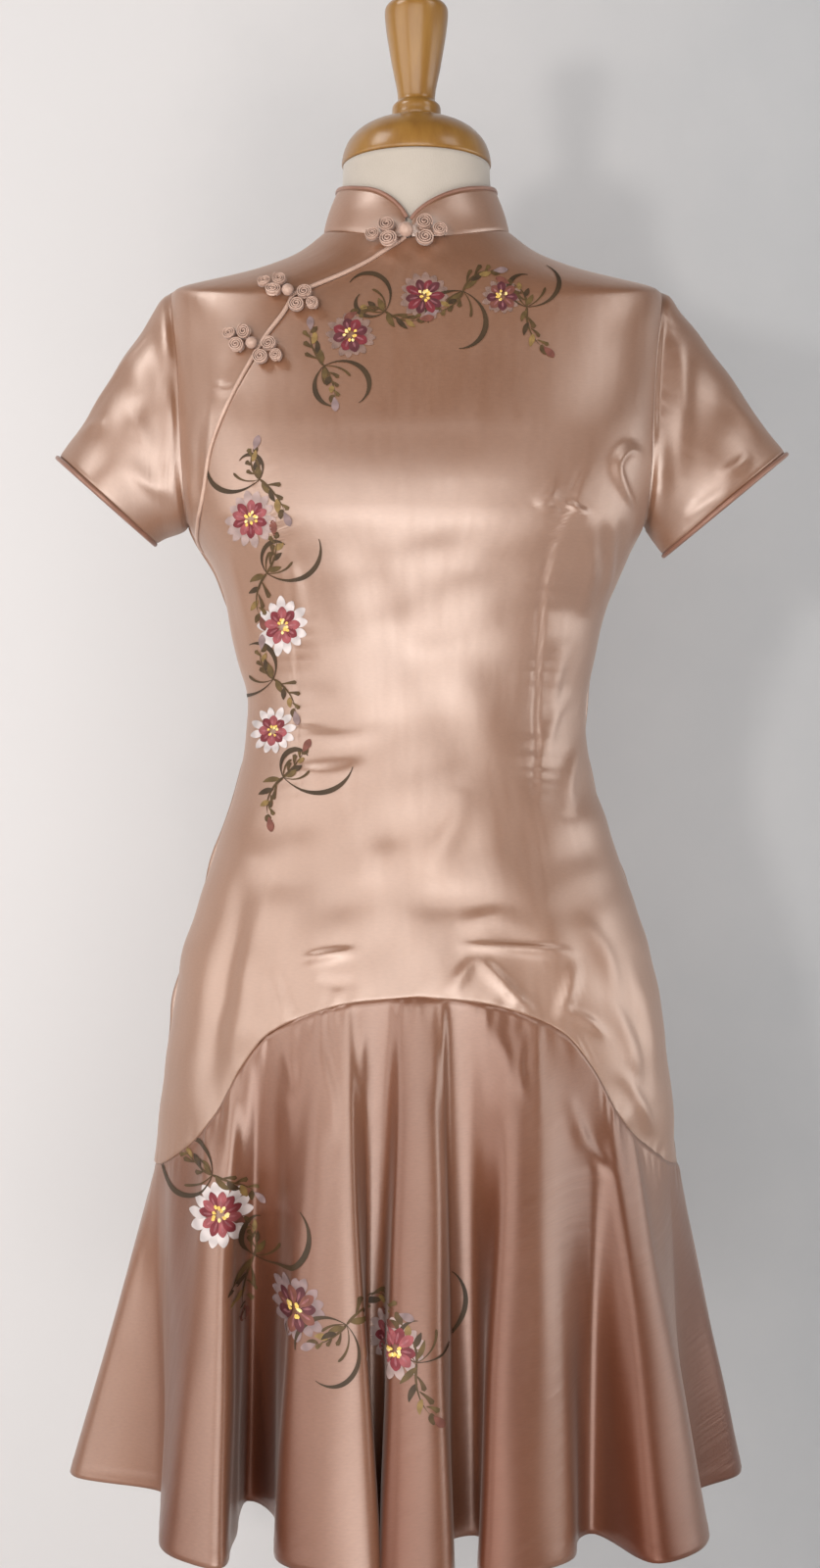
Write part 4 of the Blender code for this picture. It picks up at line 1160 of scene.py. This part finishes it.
PAINT_LIFT = 0.00035          # of the first coat over the cloth
COAT = 0.00007                # each later coat over the one before
MM = 0.001
CELL = 0.002                  # of the grid that finds the cloth behind a place
LEAST_JUMP = 0.016            # in depth between two folds, which a stroke doesn't bridge


class Canvas:
    """A grid of cloth that paint is put on, at places given by their x and z from the front."""

    def __init__(self, points, finer=3):
        self.points = points
        self.normals = grid_normals(points)
        rows, columns, _ = points.shape
        row = np.linspace(0, rows - 1, (rows - 1) * finer + 1)
        column = np.linspace(0, columns - 1, (columns - 1) * finer + 1)
        row, column = (part.ravel() for part in np.meshgrid(row, column, indexing="ij"))
        places = self.blend(self.points, row, column)
        far_first = np.argsort(-places[:, 1])
        self.low = places[:, [0, 2]].min(axis=0)
        where = ((places[:, [0, 2]] - self.low) / CELL).astype(int)
        size = where.max(axis=0) + 1
        self.row = np.full(size, np.nan)
        self.column = np.full(size, np.nan)
        i, j = where[far_first].T
        self.row[i, j] = row[far_first]
        self.column[i, j] = column[far_first]

    @staticmethod
    def blend(values, row, column):
        row = np.clip(row, 0, values.shape[0] - 1.001)
        column = np.clip(column, 0, values.shape[1] - 1.001)
        i, j = row.astype(int), column.astype(int)
        u, v = (row - i)[:, None], (column - j)[:, None]
        below = values[i, j] * (1 - v) + values[i, j + 1] * v
        above = values[i + 1, j] * (1 - v) + values[i + 1, j + 1] * v
        return below * (1 - u) + above * u

    def place(self, x, z, lift):
        """Points on the nearest cloth behind these places, and whether there is any."""
        where = ((np.column_stack([x, z]) - self.low) / CELL).astype(int)
        inside = np.all((where >= 0) & (where < self.row.shape), axis=1)
        i, j = np.clip(where, 0, np.array(self.row.shape) - 1).T
        row, column = self.row[i, j], self.column[i, j]
        found = inside & np.isfinite(row)
        row, column = np.where(found, row, 0.0), np.where(found, column, 0.0)
        aim = np.column_stack([x, z])
        for _ in range(4):
            here = self.blend(self.points, row, column)[:, [0, 2]]
            up = (self.blend(self.points, row + 0.3, column)[:, [0, 2]] - here) / 0.3
            over = (self.blend(self.points, row, column + 0.3)[:, [0, 2]] - here) / 0.3
            cross = up[:, 0] * over[:, 1] - up[:, 1] * over[:, 0]
            cross = np.where(np.abs(cross) < 1e-9, 1e-9, cross)
            off = aim - here
            row += np.clip((off[:, 0] * over[:, 1] - off[:, 1] * over[:, 0]) / cross, -1, 1)
            column += np.clip((up[:, 0] * off[:, 1] - up[:, 1] * off[:, 0]) / cross, -1, 1)
        points = self.blend(self.points, row, column)
        found &= np.linalg.norm(points[:, [0, 2]] - aim, axis=1) < 0.0012
        normals = unit(self.blend(self.normals, row, column))
        found &= normals[:, 1] < -0.05
        return points + normals * lift, found


class Painting:
    """Gathers strokes, and becomes one piece with a colour at each of its points."""

    def __init__(self, canvas, seed):
        self.canvas = canvas
        self.vertices, self.faces, self.colours = [], [], []
        self.dice = np.random.default_rng(seed)

    def strip(self, middle, width, colours, coat):
        """A stroke along a line, with five points across it."""
        heading = unit(np.gradient(middle, axis=0))
        side = np.column_stack([-heading[:, 1], heading[:, 0]])
        across = np.array([-1.0, -0.6, 0.0, 0.6, 1.0])
        places = middle[:, None] + side[:, None] * across[None, :, None] * width[:, None, None] / 2
        steps = len(middle)
        flat = places.reshape(-1, 2)
        points, found = self.canvas.place(flat[:, 0], flat[:, 1], PAINT_LIFT + coat * COAT)
        first = sum(len(part) for part in self.vertices)
        a, b, c, d = np.array(grid_faces(steps, len(across))).T
        jump = np.abs(points[a, 1] - points[c, 1]) + np.abs(points[b, 1] - points[d, 1])
        keep = found[a] & found[b] & found[c] & found[d] & (jump < LEAST_JUMP)
        self.faces.extend((np.column_stack([b, a, d, c])[keep] + first).tolist())
        self.vertices.append(points)
        self.colours.append(np.repeat(colours, len(across), axis=0))

    def stroke(self, x, z, heading, length, bend, width, paint, kind="comma", coat=1.0):
        """A brush stroke from x and z, whose heading turns by bend on the way. Millimetres."""
        steps = max(8, round(length / 1.1))
        s = np.linspace(0, 1, steps)
        angle = math.radians(heading) + math.radians(bend) * s ** 1.25
        ahead = np.column_stack([np.cos(angle), np.sin(angle)])
        line = np.zeros((steps, 2))
        line[1:] = np.cumsum((ahead[1:] + ahead[:-1]) / 2, axis=0) * length * MM / (steps - 1)
        line += [x, z]
        ends = np.sqrt(np.clip(1 - (2 * s - 1) ** 8, 0, 1))
        shape = {
            "comma": (0.20 + 0.80 * s ** 1.4) * ends,
            "tail": (0.12 + 0.88 * (1 - s) ** 1.2) * ends,
            "leaf": np.sin(math.pi * np.clip(s, 0.02, 0.98) ** 0.85) ** 0.75,
            "petal": np.sin(math.pi * np.clip(s, 0.03, 0.985) ** 1.35) ** 0.62,
            "swell": 0.15 + 0.85 * np.sin(math.pi * s ** 1.3) ** 1.5,
        }[kind]
        width_here = np.maximum(width * MM * shape, 0.0002)
        shade = 1 + 0.14 * np.sin(s * 9 + self.dice.uniform(0, 6)) + self.dice.normal(0, 0.05)
        colours = np.clip(np.array(paint) * shade[:, None], 0, 1)
        self.strip(line, width_here, colours, coat + self.dice.uniform(0, 0.8))

    def flower(self, x, z, radius, petals, paints, halo):
        """Petals round a stippled yellow middle, over a ring of paler ones."""
        turn = self.dice.uniform(0, 360)
        reach, count, paint = halo
        for k in range(count):
            angle = turn + 360 / count * (k + self.dice.uniform(-0.15, 0.15))
            length = (reach - radius * 0.45) * self.dice.uniform(0.86, 1.08)
            self.petal(x, z, angle, radius * 0.45, length, 6.6 * reach / 20, paint, 0)
        for k in range(petals):
            angle = turn + 360 / petals * (k + self.dice.uniform(-0.12, 0.12))
            paint = paints[k % len(paints)]
            wide = 2 * math.pi * radius * 0.72 / petals
            length = radius * self.dice.uniform(0.70, 0.84)
            self.petal(x, z, angle, radius * 0.20, length, wide, paint, 3)
            pale = np.array(paint) * 0.55 + np.array(PINK) * 0.30
            self.petal(x, z, angle + 3, radius * 0.30, length * 0.6, wide * 0.22, pale, 5)
        for k in range(11):
            angle = self.dice.uniform(0, 360)
            far = radius * 0.25 * math.sqrt(self.dice.uniform(0, 1))
            paint = YELLOW if k % 3 else LEMON
            self.petal(x, z, angle, far, radius * 0.20, radius * 0.15, paint, 7)

    def petal(self, x, z, angle, start, length, width, paint, coat):
        out = math.radians(angle)
        x += start * MM * math.cos(out)
        z += start * MM * math.sin(out)
        bend = self.dice.uniform(-12, 12)
        self.stroke(x, z, angle - bend / 2, length, bend, width, paint, "petal", coat)

    def finish(self, name):
        vertices = np.concatenate(self.vertices)
        used = np.zeros(len(vertices), bool)
        faces = np.array(self.faces)
        used[faces.ravel()] = True
        fresh = np.cumsum(used) - 1
        obj = mesh_from(name, vertices[used], fresh[faces].tolist(), PAINT)
        set_point_colours(obj, "Paint", np.concatenate(self.colours)[used])
        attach(obj, "root")


# Share along its garland's line, radius in mm, number of petals and their paints in turn, and
# the paler ring below them: its radius in mm, its number of petals and their paint.
Bloom = namedtuple("Bloom", "share radius petals paints halo")
CHEST_LINE = ((-0.085, 1.250), (-0.050, 1.300), (0.000, 1.330), (0.050, 1.335), (0.100, 1.315))
CHEST_BLOOMS = (
    Bloom(0.28, 14, 8, (CRIMSON, MAROON), (18, 16, DUSK)),
    Bloom(0.56, 15, 10, (MAROON, CRIMSON), (19, 16, DUSK)),
    Bloom(0.82, 12, 8, (RUSSET, MAROON), (15, 14, DUSK)),
)
SIDE_LINE = ((-0.105, 1.220), (-0.122, 1.160), (-0.100, 1.095), (-0.110, 1.030), (-0.090, 0.940))
SIDE_BLOOMS = (
    Bloom(0.20, 14, 10, (CRIMSON, ROSE_RED), (20, 14, HAZE)),
    Bloom(0.48, 14, 9, (ROSE_RED, CRIMSON), (21, 13, WHITE)),
    Bloom(0.75, 12, 8, (CRIMSON, ROSE_RED), (18, 12, WHITE)),
)
FLOUNCE_LINE = ((-0.155, 0.710), (-0.140, 0.650), (-0.100, 0.605), (-0.045, 0.590), (0.015, 0.560))
FLOUNCE_BLOOMS = (
    Bloom(0.22, 16, 11, (CRIMSON, ROSE_RED), (24, 14, WHITE)),
    Bloom(0.56, 16, 10, (MAROON, RUSSET), (22, 14, LILAC)),
    Bloom(0.86, 15, 9, (ROSE_RED, CRIMSON), (21, 13, HAZE)),
)
LEAF_PAINTS = (MOSS, OLIVE, UMBER, OLIVE, OCHRE, MOSS, OLIVE)


def sprig(painting, x, z, heading, way, size, bud):
    """A bent stem with leaves along both its sides and a bud at its tip."""
    dice = painting.dice
    reach = size * dice.uniform(1.8, 2.4)
    bend = way * dice.uniform(20, 80)
    painting.stroke(x, z, heading, reach, bend, 2.4, OLIVE, "tail")
    for k, colour in enumerate(LEAF_PAINTS):
        share = (k + 0.6) / len(LEAF_PAINTS)
        angle = heading + bend * share
        middle = math.radians(heading + bend * share / 2)
        far = share * reach * MM
        place = (x + math.cos(middle) * far, z + math.sin(middle) * far)
        side = 1 if k % 2 else -1
        length = size * dice.uniform(0.65, 1.0) * (1.1 - 0.5 * share)
        painting.stroke(*place, angle + side * dice.uniform(28, 58), length,
                        -side * dice.uniform(0, 50), dice.uniform(3.6, 5.0), colour,
                        "comma" if side > 0 else "leaf")
    painting.petal(*place, angle, size * 0.15, 11, 5.6, bud, 2)


def curl(painting, x, z, heading, way, size):
    """A long scroll, with a shorter thin one inside it."""
    dice = painting.dice
    painting.stroke(x, z, heading, size * dice.uniform(3.4, 4.6), way * dice.uniform(110, 190),
                    dice.uniform(3.2, 4.6), UMBER, "swell")
    painting.stroke(x, z, heading + 24 * way, size * 1.6, way * dice.uniform(40, 90), 2.4,
                    OLIVE, "comma")


def garland(canvas, line, blooms, size, seed, name):
    """Blooms along a line, with a sprig and a scroll on opposite sides of it in every gap."""
    painting = Painting(canvas, seed)
    path = smooth_line(line, 40)
    shares = run_length(path, 0)
    shares = shares / shares[-1]

    def at(share):
        return [float(np.interp(share, shares, path[:, axis])) for axis in (0, 1)]
    stops = [0.0, *(bloom.share for bloom in blooms), 1.0]
    for k, (before, after) in enumerate(zip(stops[:-1], stops[1:])):
        middle = (before + after) / 2
        (ax, az), (bx, bz) = at(middle - 0.02), at(middle + 0.02)
        along = math.degrees(math.atan2(bz - az, bx - ax))
        way = -1 if k % 2 else 1
        bud = RUSSET if k % 2 else LILAC
        curl(painting, *at(middle), along - 30 * way, -way, size)
        curl(painting, *at(middle), along + 170 * way, way, size * 0.7)
        sprig(painting, *at(middle), along + 70 * way, -way, size, bud)
        sprig(painting, *at(middle), along - 115 * way, -way, size * 0.8, bud)
    for bloom in blooms:
        painting.flower(*at(bloom.share), bloom.radius, bloom.petals, bloom.paints, bloom.halo)
    painting.finish(name)


# ---------------------------------------------------------------- frogs

CORD_RADIUS = 0.00085         # of the satin cord that the coils are wound from
FROG_THICKNESS = 0.0042
COIL_SPACING = 1.13           # a coil's middle from the knot's middle, in coil radii
COIL_SIZES = (0.7998, 0.98, 0.9506)     # of the three coils, the one by the ball first
RIBBON_THICKNESS = 2 * CORD_RADIUS * 0.62
DISC_STEPS = 20               # round the backing that closes each coil from below
DISC_SIZE = 0.93              # of the backing, in coil radii
DISC_TOP = -0.20              # of the backing, in frog thicknesses over the frog's middle
BALL_LIFT = 0.0018


def frog_frame(frog, along):
    """A matrix on the front of the dress, its x along the frog, its z out of the cloth."""
    slope = math.radians(frog.slope)
    turn, level = find_on_front(frog.x + along * math.cos(slope), frog.z + along * math.sin(slope))
    point = Vector(over_torso(turn, level, frog.height))
    out = Vector(outward(turn, level))
    across = Vector((math.cos(slope), 0, math.sin(slope)))
    across = (across - out * across.dot(out)).normalized()
    frame = Matrix((across, out.cross(across), out)).transposed().to_4x4()
    frame.translation = point
    return frame


def coil_ribbon(middle, radius, start, way, tall, lump=0.0, seed=0.0):
    """A ribbon wound flat into a spiral on its edge: a wall's points, bottom row and top row."""
    turns = 3.1
    steps = 90
    t = np.linspace(0, 1, steps)
    angle = start + way * t * turns * 2 * math.pi
    reach = radius * (0.10 + 0.90 * t ** 0.85)
    reach = reach * (1 + lump * t * np.sin(2 * angle + seed))
    x = middle[0] + reach * np.cos(angle)
    y = middle[1] + reach * np.sin(angle)
    high = tall / 2 * (1 - 0.16 * t + 0.10 * np.sin(angle * 1.5 + seed))
    low = np.full(steps, -tall / 2)
    return np.stack([np.column_stack([x, y, low]), np.column_stack([x, y, high])])


# Across, in half thicknesses, and up, as a share of the ribbon's height.
RIBBON_SECTION = (
    (-1.0, 0), (-1.0, 0.86), (-0.62, 0.97), (0, 1.0), (0.62, 0.97), (1.0, 0.86), (1.0, 0),
)


def ribbon_wall(rows, thickness):
    """A ribbon with a rounded upper edge, closed all round, along the top of a spiral."""
    low, high = rows
    along = unit(np.gradient(high, axis=0))
    side = unit(np.cross(along, [0, 0, 1.0]))
    ring = [low + (high - low) * up + side * across * thickness / 2
            for across, up in RIBBON_SECTION]
    return np.stack(ring, axis=1)


def frog_half(frog, side, name):
    """Three ribbon coils, sewn down, on one side of the opening."""
    vertices, faces = [], []
    loose = 0.10 if name.endswith("loop") and frog.name != "neck" else 0.03
    for lobe in range(3):
        angle = math.pi + lobe * 2 * math.pi / 3
        middle = np.array([math.cos(angle), math.sin(angle)]) * frog.coil * COIL_SPACING
        size = frog.coil * COIL_SIZES[lobe]
        rows = coil_ribbon(middle, size, angle + lobe, side, FROG_THICKNESS, loose, 1.7 * lobe)
        wall = ribbon_wall(rows, RIBBON_THICKNESS)
        steps, around, _ = wall.shape
        first = len(vertices)
        vertices.extend(wall.reshape(-1, 3) * [-side, 1, 1])
        for i in range(steps - 1):
            for j in range(around):
                k = (j + 1) % around
                a, b, c, d = (first + i * around + j, first + i * around + k,
                              first + (i + 1) * around + k, first + (i + 1) * around + j)
                faces.append((a, b, c, d) if side > 0 else (d, c, b, a))
        ends = [tuple(first + end * around + j for j in range(around)) for end in (0, steps - 1)]
        faces.append(ends[0][::-1] if side > 0 else ends[0])
        faces.append(ends[1] if side > 0 else ends[1][::-1])
        core = len(vertices)
        disc = np.linspace(0, 2 * math.pi, DISC_STEPS, endpoint=False)
        for height in (-FROG_THICKNESS / 2, FROG_THICKNESS * DISC_TOP):
            ring = np.column_stack([
                middle[0] + size * DISC_SIZE * np.cos(disc),
                middle[1] + size * DISC_SIZE * np.sin(disc),
                np.full(DISC_STEPS, height),
            ])
            vertices.extend(ring * [-side, 1, 1])
        for j in range(DISC_STEPS):
            k = (j + 1) % DISC_STEPS
            quad = (core + j, core + k, core + DISC_STEPS + k, core + DISC_STEPS + j)
            faces.append(quad if side < 0 else quad[::-1])
        top = tuple(core + DISC_STEPS + j for j in range(DISC_STEPS))
        faces.append(top if side < 0 else top[::-1])
    obj = mesh_from(f"{name}_coils", np.array(vertices), faces, CORD)
    obj.matrix_world = frog_frame(frog, side * frog.spread)
    stand_for(obj, name)


def frog_ball(frog):
    """A knotted satin ball: strands of cord that pass over and under each other."""
    steps = 36
    u = np.linspace(0, math.pi, 19)[:, None]
    v = np.linspace(0, 2 * math.pi, steps, endpoint=False)[None, :]
    weave = np.sin(3 * v + 2.2 * np.cos(u)) * np.sin(2 * u + 0.8 * np.sin(2 * v))
    radius = frog.ball * (0.97 + 0.05 * np.abs(weave) ** 0.6)
    ball = np.stack([radius * np.sin(u) * np.cos(v), radius * np.sin(u) * np.sin(v),
                     -radius * np.cos(u) * np.ones_like(v)], axis=-1)
    obj = mesh_from(f"knotted_ball_{frog.name}", ball.reshape(-1, 3),
                    grid_faces(19, steps, closed=True), CORD)
    obj.matrix_world = frog_frame(frog, 0.0) @ Matrix.Translation((0, 0, BALL_LIFT))
    stand_for(obj, f"frog_{frog.name}_ball")


# ---------------------------------------------------------------- the dress form

FORM_INSET = np.array([
    (0.665, 0.0220), (0.740, 0.0160), (0.820, 0.0070), (0.960, 0.0060), (1.022, 0.0050),
    (1.085, 0.0065), (1.130, 0.0085), (1.172, 0.0085), (1.230, 0.0078), (1.300, 0.0080),
    (1.330, 0.0088), (1.3525, 0.0080), (1.376, 0.0060), (1.398, 0.0050),
])
FORM_BOTTOM = 0.700
FORM_BOTTOM_EDGE = 0.93
FORM_BOTTOM_ROUND = 0.008
FORM_NECK = np.array([
    (1.4120, 0.0620, 0.0580, 0.0565),
    (1.4260, 0.0588, 0.0572, 0.0562),
    (1.4400, 0.0575, 0.0568, 0.0565),
    (1.4505, 0.0572, 0.0570, 0.0570),
])
CAP_PROFILE = (
    (0.0000, 1.4880), (0.0180, 1.4880), (0.0330, 1.4844), (0.0450, 1.4780), (0.0533, 1.4692),
    (0.0571, 1.4603), (0.0583, 1.4520), (0.0560, 1.4508), (0.0000, 1.4508),
)
FINIAL_PROFILE = (
    (0.0000, 1.5835), (0.0100, 1.5828), (0.0185, 1.5800), (0.0238, 1.5755), (0.0248, 1.5700),
    (0.0232, 1.5550), (0.0190, 1.5300), (0.0154, 1.5125), (0.0145, 1.5050), (0.0150, 1.5020),
    (0.0184, 1.4985), (0.0190, 1.4935), (0.0184, 1.4883), (0.0000, 1.4883),
)
BASE_RADIUS = 0.185
BASE_PROFILE = (
    (0.0000, 0.0520), (0.0260, 0.0520), (0.0320, 0.0480), (0.0360, 0.0400), (0.0700, 0.0345),
    (0.1450, 0.0290), (0.1700, 0.0240), (0.1800, 0.0180), (BASE_RADIUS, 0.0080),
    (BASE_RADIUS, 0.0000), (0.0000, 0.0000),
)
POLE_RADIUS = 0.0160
TOUCH_GAP = 0.0003
FORM_COLUMNS = 96
TURNING_STEPS = 96


def form_body():
    turns = np.linspace(0, 2 * math.pi, FORM_COLUMNS, endpoint=False)
    inset = round_curve(FORM_INSET[:, 0], FORM_INSET[:, 1])

    def ring(level):
        return over_torso(turns, np.full_like(turns, level), -float(inset(level)))
    bottom = ring(FORM_BOTTOM)
    bottom[:, 2] = FORM_BOTTOM
    rings = []
    for angle in np.linspace(0, math.pi / 2, 6):
        size = FORM_BOTTOM_EDGE + (1 - FORM_BOTTOM_EDGE) * math.sin(angle)
        rings.append(bottom * [size, size, 1] + [0, 0, FORM_BOTTOM_ROUND * (1 - math.cos(angle))])
    rings += [ring(level) for level in np.linspace(0.722, NECK_POINT, 120)]
    neck = round_curve(FORM_NECK[:, 0], FORM_NECK[:, 1:])
    for height in np.linspace(FORM_NECK[0, 0], FORM_NECK[-1, 0], 14):
        half_width, front, back = neck(height)
        depth = np.where(np.cos(turns) > 0, front, back)
        x, y = half_width * np.sin(turns), -depth * np.cos(turns)
        rings.append(np.column_stack([x, y, np.full(FORM_COLUMNS, height)]))
    faces = grid_faces(len(rings), FORM_COLUMNS, closed=True)
    last = (len(rings) - 1) * FORM_COLUMNS
    faces.append(tuple(range(FORM_COLUMNS))[::-1])
    faces.append(tuple(last + j for j in range(FORM_COLUMNS)))
    obj = mesh_from("jersey_form", np.concatenate(rings), faces, JERSEY)
    stand_for(obj, "form_body")


def smooth_profile(profile, per_span=5):
    """A turner's profile, with its flat ends and its sharp corners kept."""
    points = np.array(profile)
    dense = [points[0]]
    for i in range(len(points) - 1):
        before = points[max(i - 1, 0)]
        a, b = points[i], points[i + 1]
        after = points[min(i + 2, len(points) - 1)]
        slope_a = (b - before) / 2 if np.dot(b - a, a - before) > 0 else (b - a)
        slope_b = (after - a) / 2 if np.dot(after - b, b - a) > 0 else (b - a)
        limit = np.linalg.norm(b - a)
        slope_a = slope_a * min(1, limit / max(np.linalg.norm(slope_a), 1e-9))
        slope_b = slope_b * min(1, limit / max(np.linalg.norm(slope_b), 1e-9))
        for s in np.linspace(0, 1, per_span + 1)[1:]:
            h = ((2 * s ** 3 - 3 * s ** 2 + 1) * a + (s ** 3 - 2 * s ** 2 + s) * slope_a
                 + (3 * s ** 2 - 2 * s ** 3) * b + (s ** 3 - s ** 2) * slope_b)
            dense.append(h)
    return np.array(dense)


def turned(name, profile, node, material):
    points = smooth_profile(profile)
    inner = points[1:-1]
    angles = np.linspace(0, 2 * math.pi, TURNING_STEPS, endpoint=False)
    rings = np.stack([
        np.column_stack([r * np.cos(angles), r * np.sin(angles), np.full(TURNING_STEPS, z)])
        for r, z in inner
    ])[::-1]
    count = len(inner)
    vertices = np.concatenate([rings.reshape(-1, 3), [[0, 0, inner[-1][1]], [0, 0, inner[0][1]]]])
    faces = grid_faces(count, TURNING_STEPS, closed=True)
    low, high = count * TURNING_STEPS, count * TURNING_STEPS + 1
    last = (count - 1) * TURNING_STEPS
    for j in range(TURNING_STEPS):
        k = (j + 1) % TURNING_STEPS
        faces.append((k, j, low))
        faces.append((last + j, last + k, high))
    obj = mesh_from(name, vertices, faces, material)
    stand_for(obj, node)


# ---------------------------------------------------------------- everything, in place

front_places = front_bodice()
front = torso_cloth("satin_front", front_places, "front_bodice")
bodice_canvas = Canvas(front_places[2])
garland(bodice_canvas, CHEST_LINE, CHEST_BLOOMS, 14, 5, "painted_flowers_chest")
garland(bodice_canvas, SIDE_LINE, SIDE_BLOOMS, 14, 6, "painted_flowers_side")
lap = torso_cloth("satin_underlap", underlap(), "front_underlap")
back = torso_cloth("satin_back", back_bodice(), "back_bodice")
flounce_grid = flounce(-math.pi / 2, math.pi / 2, FLOUNCE_CREASES, 51)
flounce_front = flounce_cloth("satin_flounce_front", flounce_grid, "flounce_front")
garland(Canvas(flounce_grid), FLOUNCE_LINE, FLOUNCE_BLOOMS, 17, 7, "painted_flowers_flounce")
flounce_back = flounce_cloth(
    "satin_flounce_back", flounce(math.pi / 2, 3 * math.pi / 2, FLOUNCE_CREASES, 52), "flounce_back")
sleeves = [sleeve(cuff) for cuff in CUFFS]
stand = collar()
opening_piping()
for cuff in CUFFS:
    cuff_piping(cuff)
for frog in FROGS:
    frog_half(frog, 1, f"frog_{frog.name}_button")
    frog_half(frog, -1, f"frog_{frog.name}_loop")
    frog_ball(frog)
form_body()
turned("wooden_cap", CAP_PROFILE, "form_cap", WOOD)
turned("wooden_finial", FINIAL_PROFILE, "form_finial", WOOD)
turned("round_base", BASE_PROFILE, "form_base", WOOD)
pole_bottom = BASE_PROFILE[0][1] + TOUCH_GAP
pole_top = FORM_BOTTOM - TOUCH_GAP
pole_profile = ((0, pole_top), (POLE_RADIUS, pole_top), (POLE_RADIUS, pole_bottom), (0, pole_bottom))
turned("round_pole", pole_profile, "form_pole", POLE)


# ---------------------------------------------------------------- the room, the light and the view

def floor_paint():
    nodes = Nodes("pale_floor")
    place = nodes.add("ShaderNodeTexCoord").outputs["Object"]
    clouds = nodes.noise(place, 3.0, 5.0)
    nodes.feed(nodes.ramp(clouds, (0.35, (0.576,) * 3), (0.65, (0.60,) * 3)), "Base Color")
    nodes.set(Roughness=0.8)
    return nodes.material


def flat_stage(name, corners, material):
    obj = mesh_from(name, corners, [(0, 1, 2, 3)], material)


def soft_light(name, place, aim, size, power, colour):
    data = bpy.data.lights.new(name, "AREA")
    data.shape = "RECTANGLE"
    data.size, data.size_y = size
    data.energy = power
    data.color = colour
    obj = bpy.data.objects.new(name, data)
    towards = (Vector(aim) - Vector(place)).to_track_quat("-Z", "Y")
    obj.matrix_world = Matrix.Translation(place) @ towards.to_matrix().to_4x4()
    bpy.context.scene.collection.objects.link(obj)
    return obj


def wall_paint():
    """A mottled pale wall that is darker and a little bluer towards the right."""
    nodes = Nodes("painted_wall")
    place = nodes.add("ShaderNodeTexCoord").outputs["Object"]
    split = nodes.add("ShaderNodeSeparateXYZ")
    nodes.tree.links.new(place, split.inputs[0])
    # Painted shade: the colour darkens and turns a little bluer towards the right.
    across = nodes.math("MULTIPLY", split.outputs["X"], 0.85)
    mottle = nodes.math("MULTIPLY", nodes.noise(place, 2.2, 6.0, 0.6), 0.5)
    both = nodes.math("ADD", across, mottle)
    colours = ((0.08, (0.66, 0.635, 0.63)), (0.72, (0.44, 0.445, 0.455)))
    nodes.feed(nodes.ramp(both, *colours), "Base Color")
    nodes.set(Roughness=0.9)
    from_behind = nodes.add("ShaderNodeNewGeometry")
    clear = nodes.add("ShaderNodeBsdfTransparent")
    either = nodes.add("ShaderNodeMixShader")
    nodes.join(from_behind, "Backfacing", either, 0)
    nodes.join(nodes.shader, 0, either, 1)
    nodes.join(clear, 0, either, 2)
    nodes.join(either, 0, nodes.tree.nodes["Material Output"], "Surface")
    return nodes.material


ROOM = 4.0                    # half the floor's and the wall's width, and the wall's height
WALL_BACK = 0.52
FLOOR_DROP = 0.0005           # of the floor below the base, so that they don't flicker
wall_corners = [(-ROOM, WALL_BACK, 0), (ROOM, WALL_BACK, 0),
                (ROOM, WALL_BACK, ROOM), (-ROOM, WALL_BACK, ROOM)]
floor_corners = [(x, y, -FLOOR_DROP)
                 for x, y in ((-ROOM, -ROOM), (ROOM, -ROOM), (ROOM, ROOM), (-ROOM, ROOM))]
flat_stage("wall", wall_corners, wall_paint())
flat_stage("floor", floor_corners, floor_paint())

MIDDLE = (0.0, 0.0, 1.2)
WARM = (1.0, 0.985, 0.97)
soft_light("front panel", (-0.2, -2.25, 0.63), (-0.2, 0.0, 0.9), (2.2, 1.05), 23, WARM)
soft_light("upper front panel", (-0.2, -2.25, 1.69), (-0.2, 0.0, 1.4), (2.2, 1.05), 17, WARM)
soft_light("low panel", (0.0, -1.45, 0.03), (0.0, -0.3, 1.1), (1.2, 1.1), 11, WARM)
soft_light("left panel", (-2.3, -1.3, 1.25), MIDDLE, (2.2, 2.0), 28, WARM)
soft_light("right panel", (2.5, -0.3, 1.05), MIDDLE, (1.7, 1.5), 19, WARM)
soft_light("high left panel", (-1.5, -0.75, 2.75), MIDDLE, (0.8, 0.8), 12, WARM)
soft_light("high right panel", (1.6, -1.1, 2.6), MIDDLE, (0.8, 0.8), 6, WARM)
# The small key light shapes the cloth; satin would show it as a hot spot, so it isn't reflected.
key = soft_light("key", (-0.58, -1.80, 1.14), (0.0, 0.0, 1.1), (0.12, 0.12), 10, (1.0, 0.97, 0.93))
key.visible_glossy = False
world = bpy.data.worlds.new("room")
world.use_nodes = True
world.node_tree.nodes["Background"].inputs["Color"].default_value = (0.80, 0.85, 0.92, 1)
world.node_tree.nodes["Background"].inputs["Strength"].default_value = 0.06
bpy.context.scene.world = world

lens = bpy.data.cameras.new("view")
lens.lens = 48.825
lens.sensor_width = 36
view = bpy.data.objects.new("view", lens)
view.matrix_world = Matrix.Translation((-0.005, -1.66, 0.97)) @ Matrix.Rotation(math.pi / 2, 4, "X")
bpy.context.scene.collection.objects.link(view)
bpy.context.scene.camera = view
bpy.context.scene.view_settings.view_transform = "Standard"
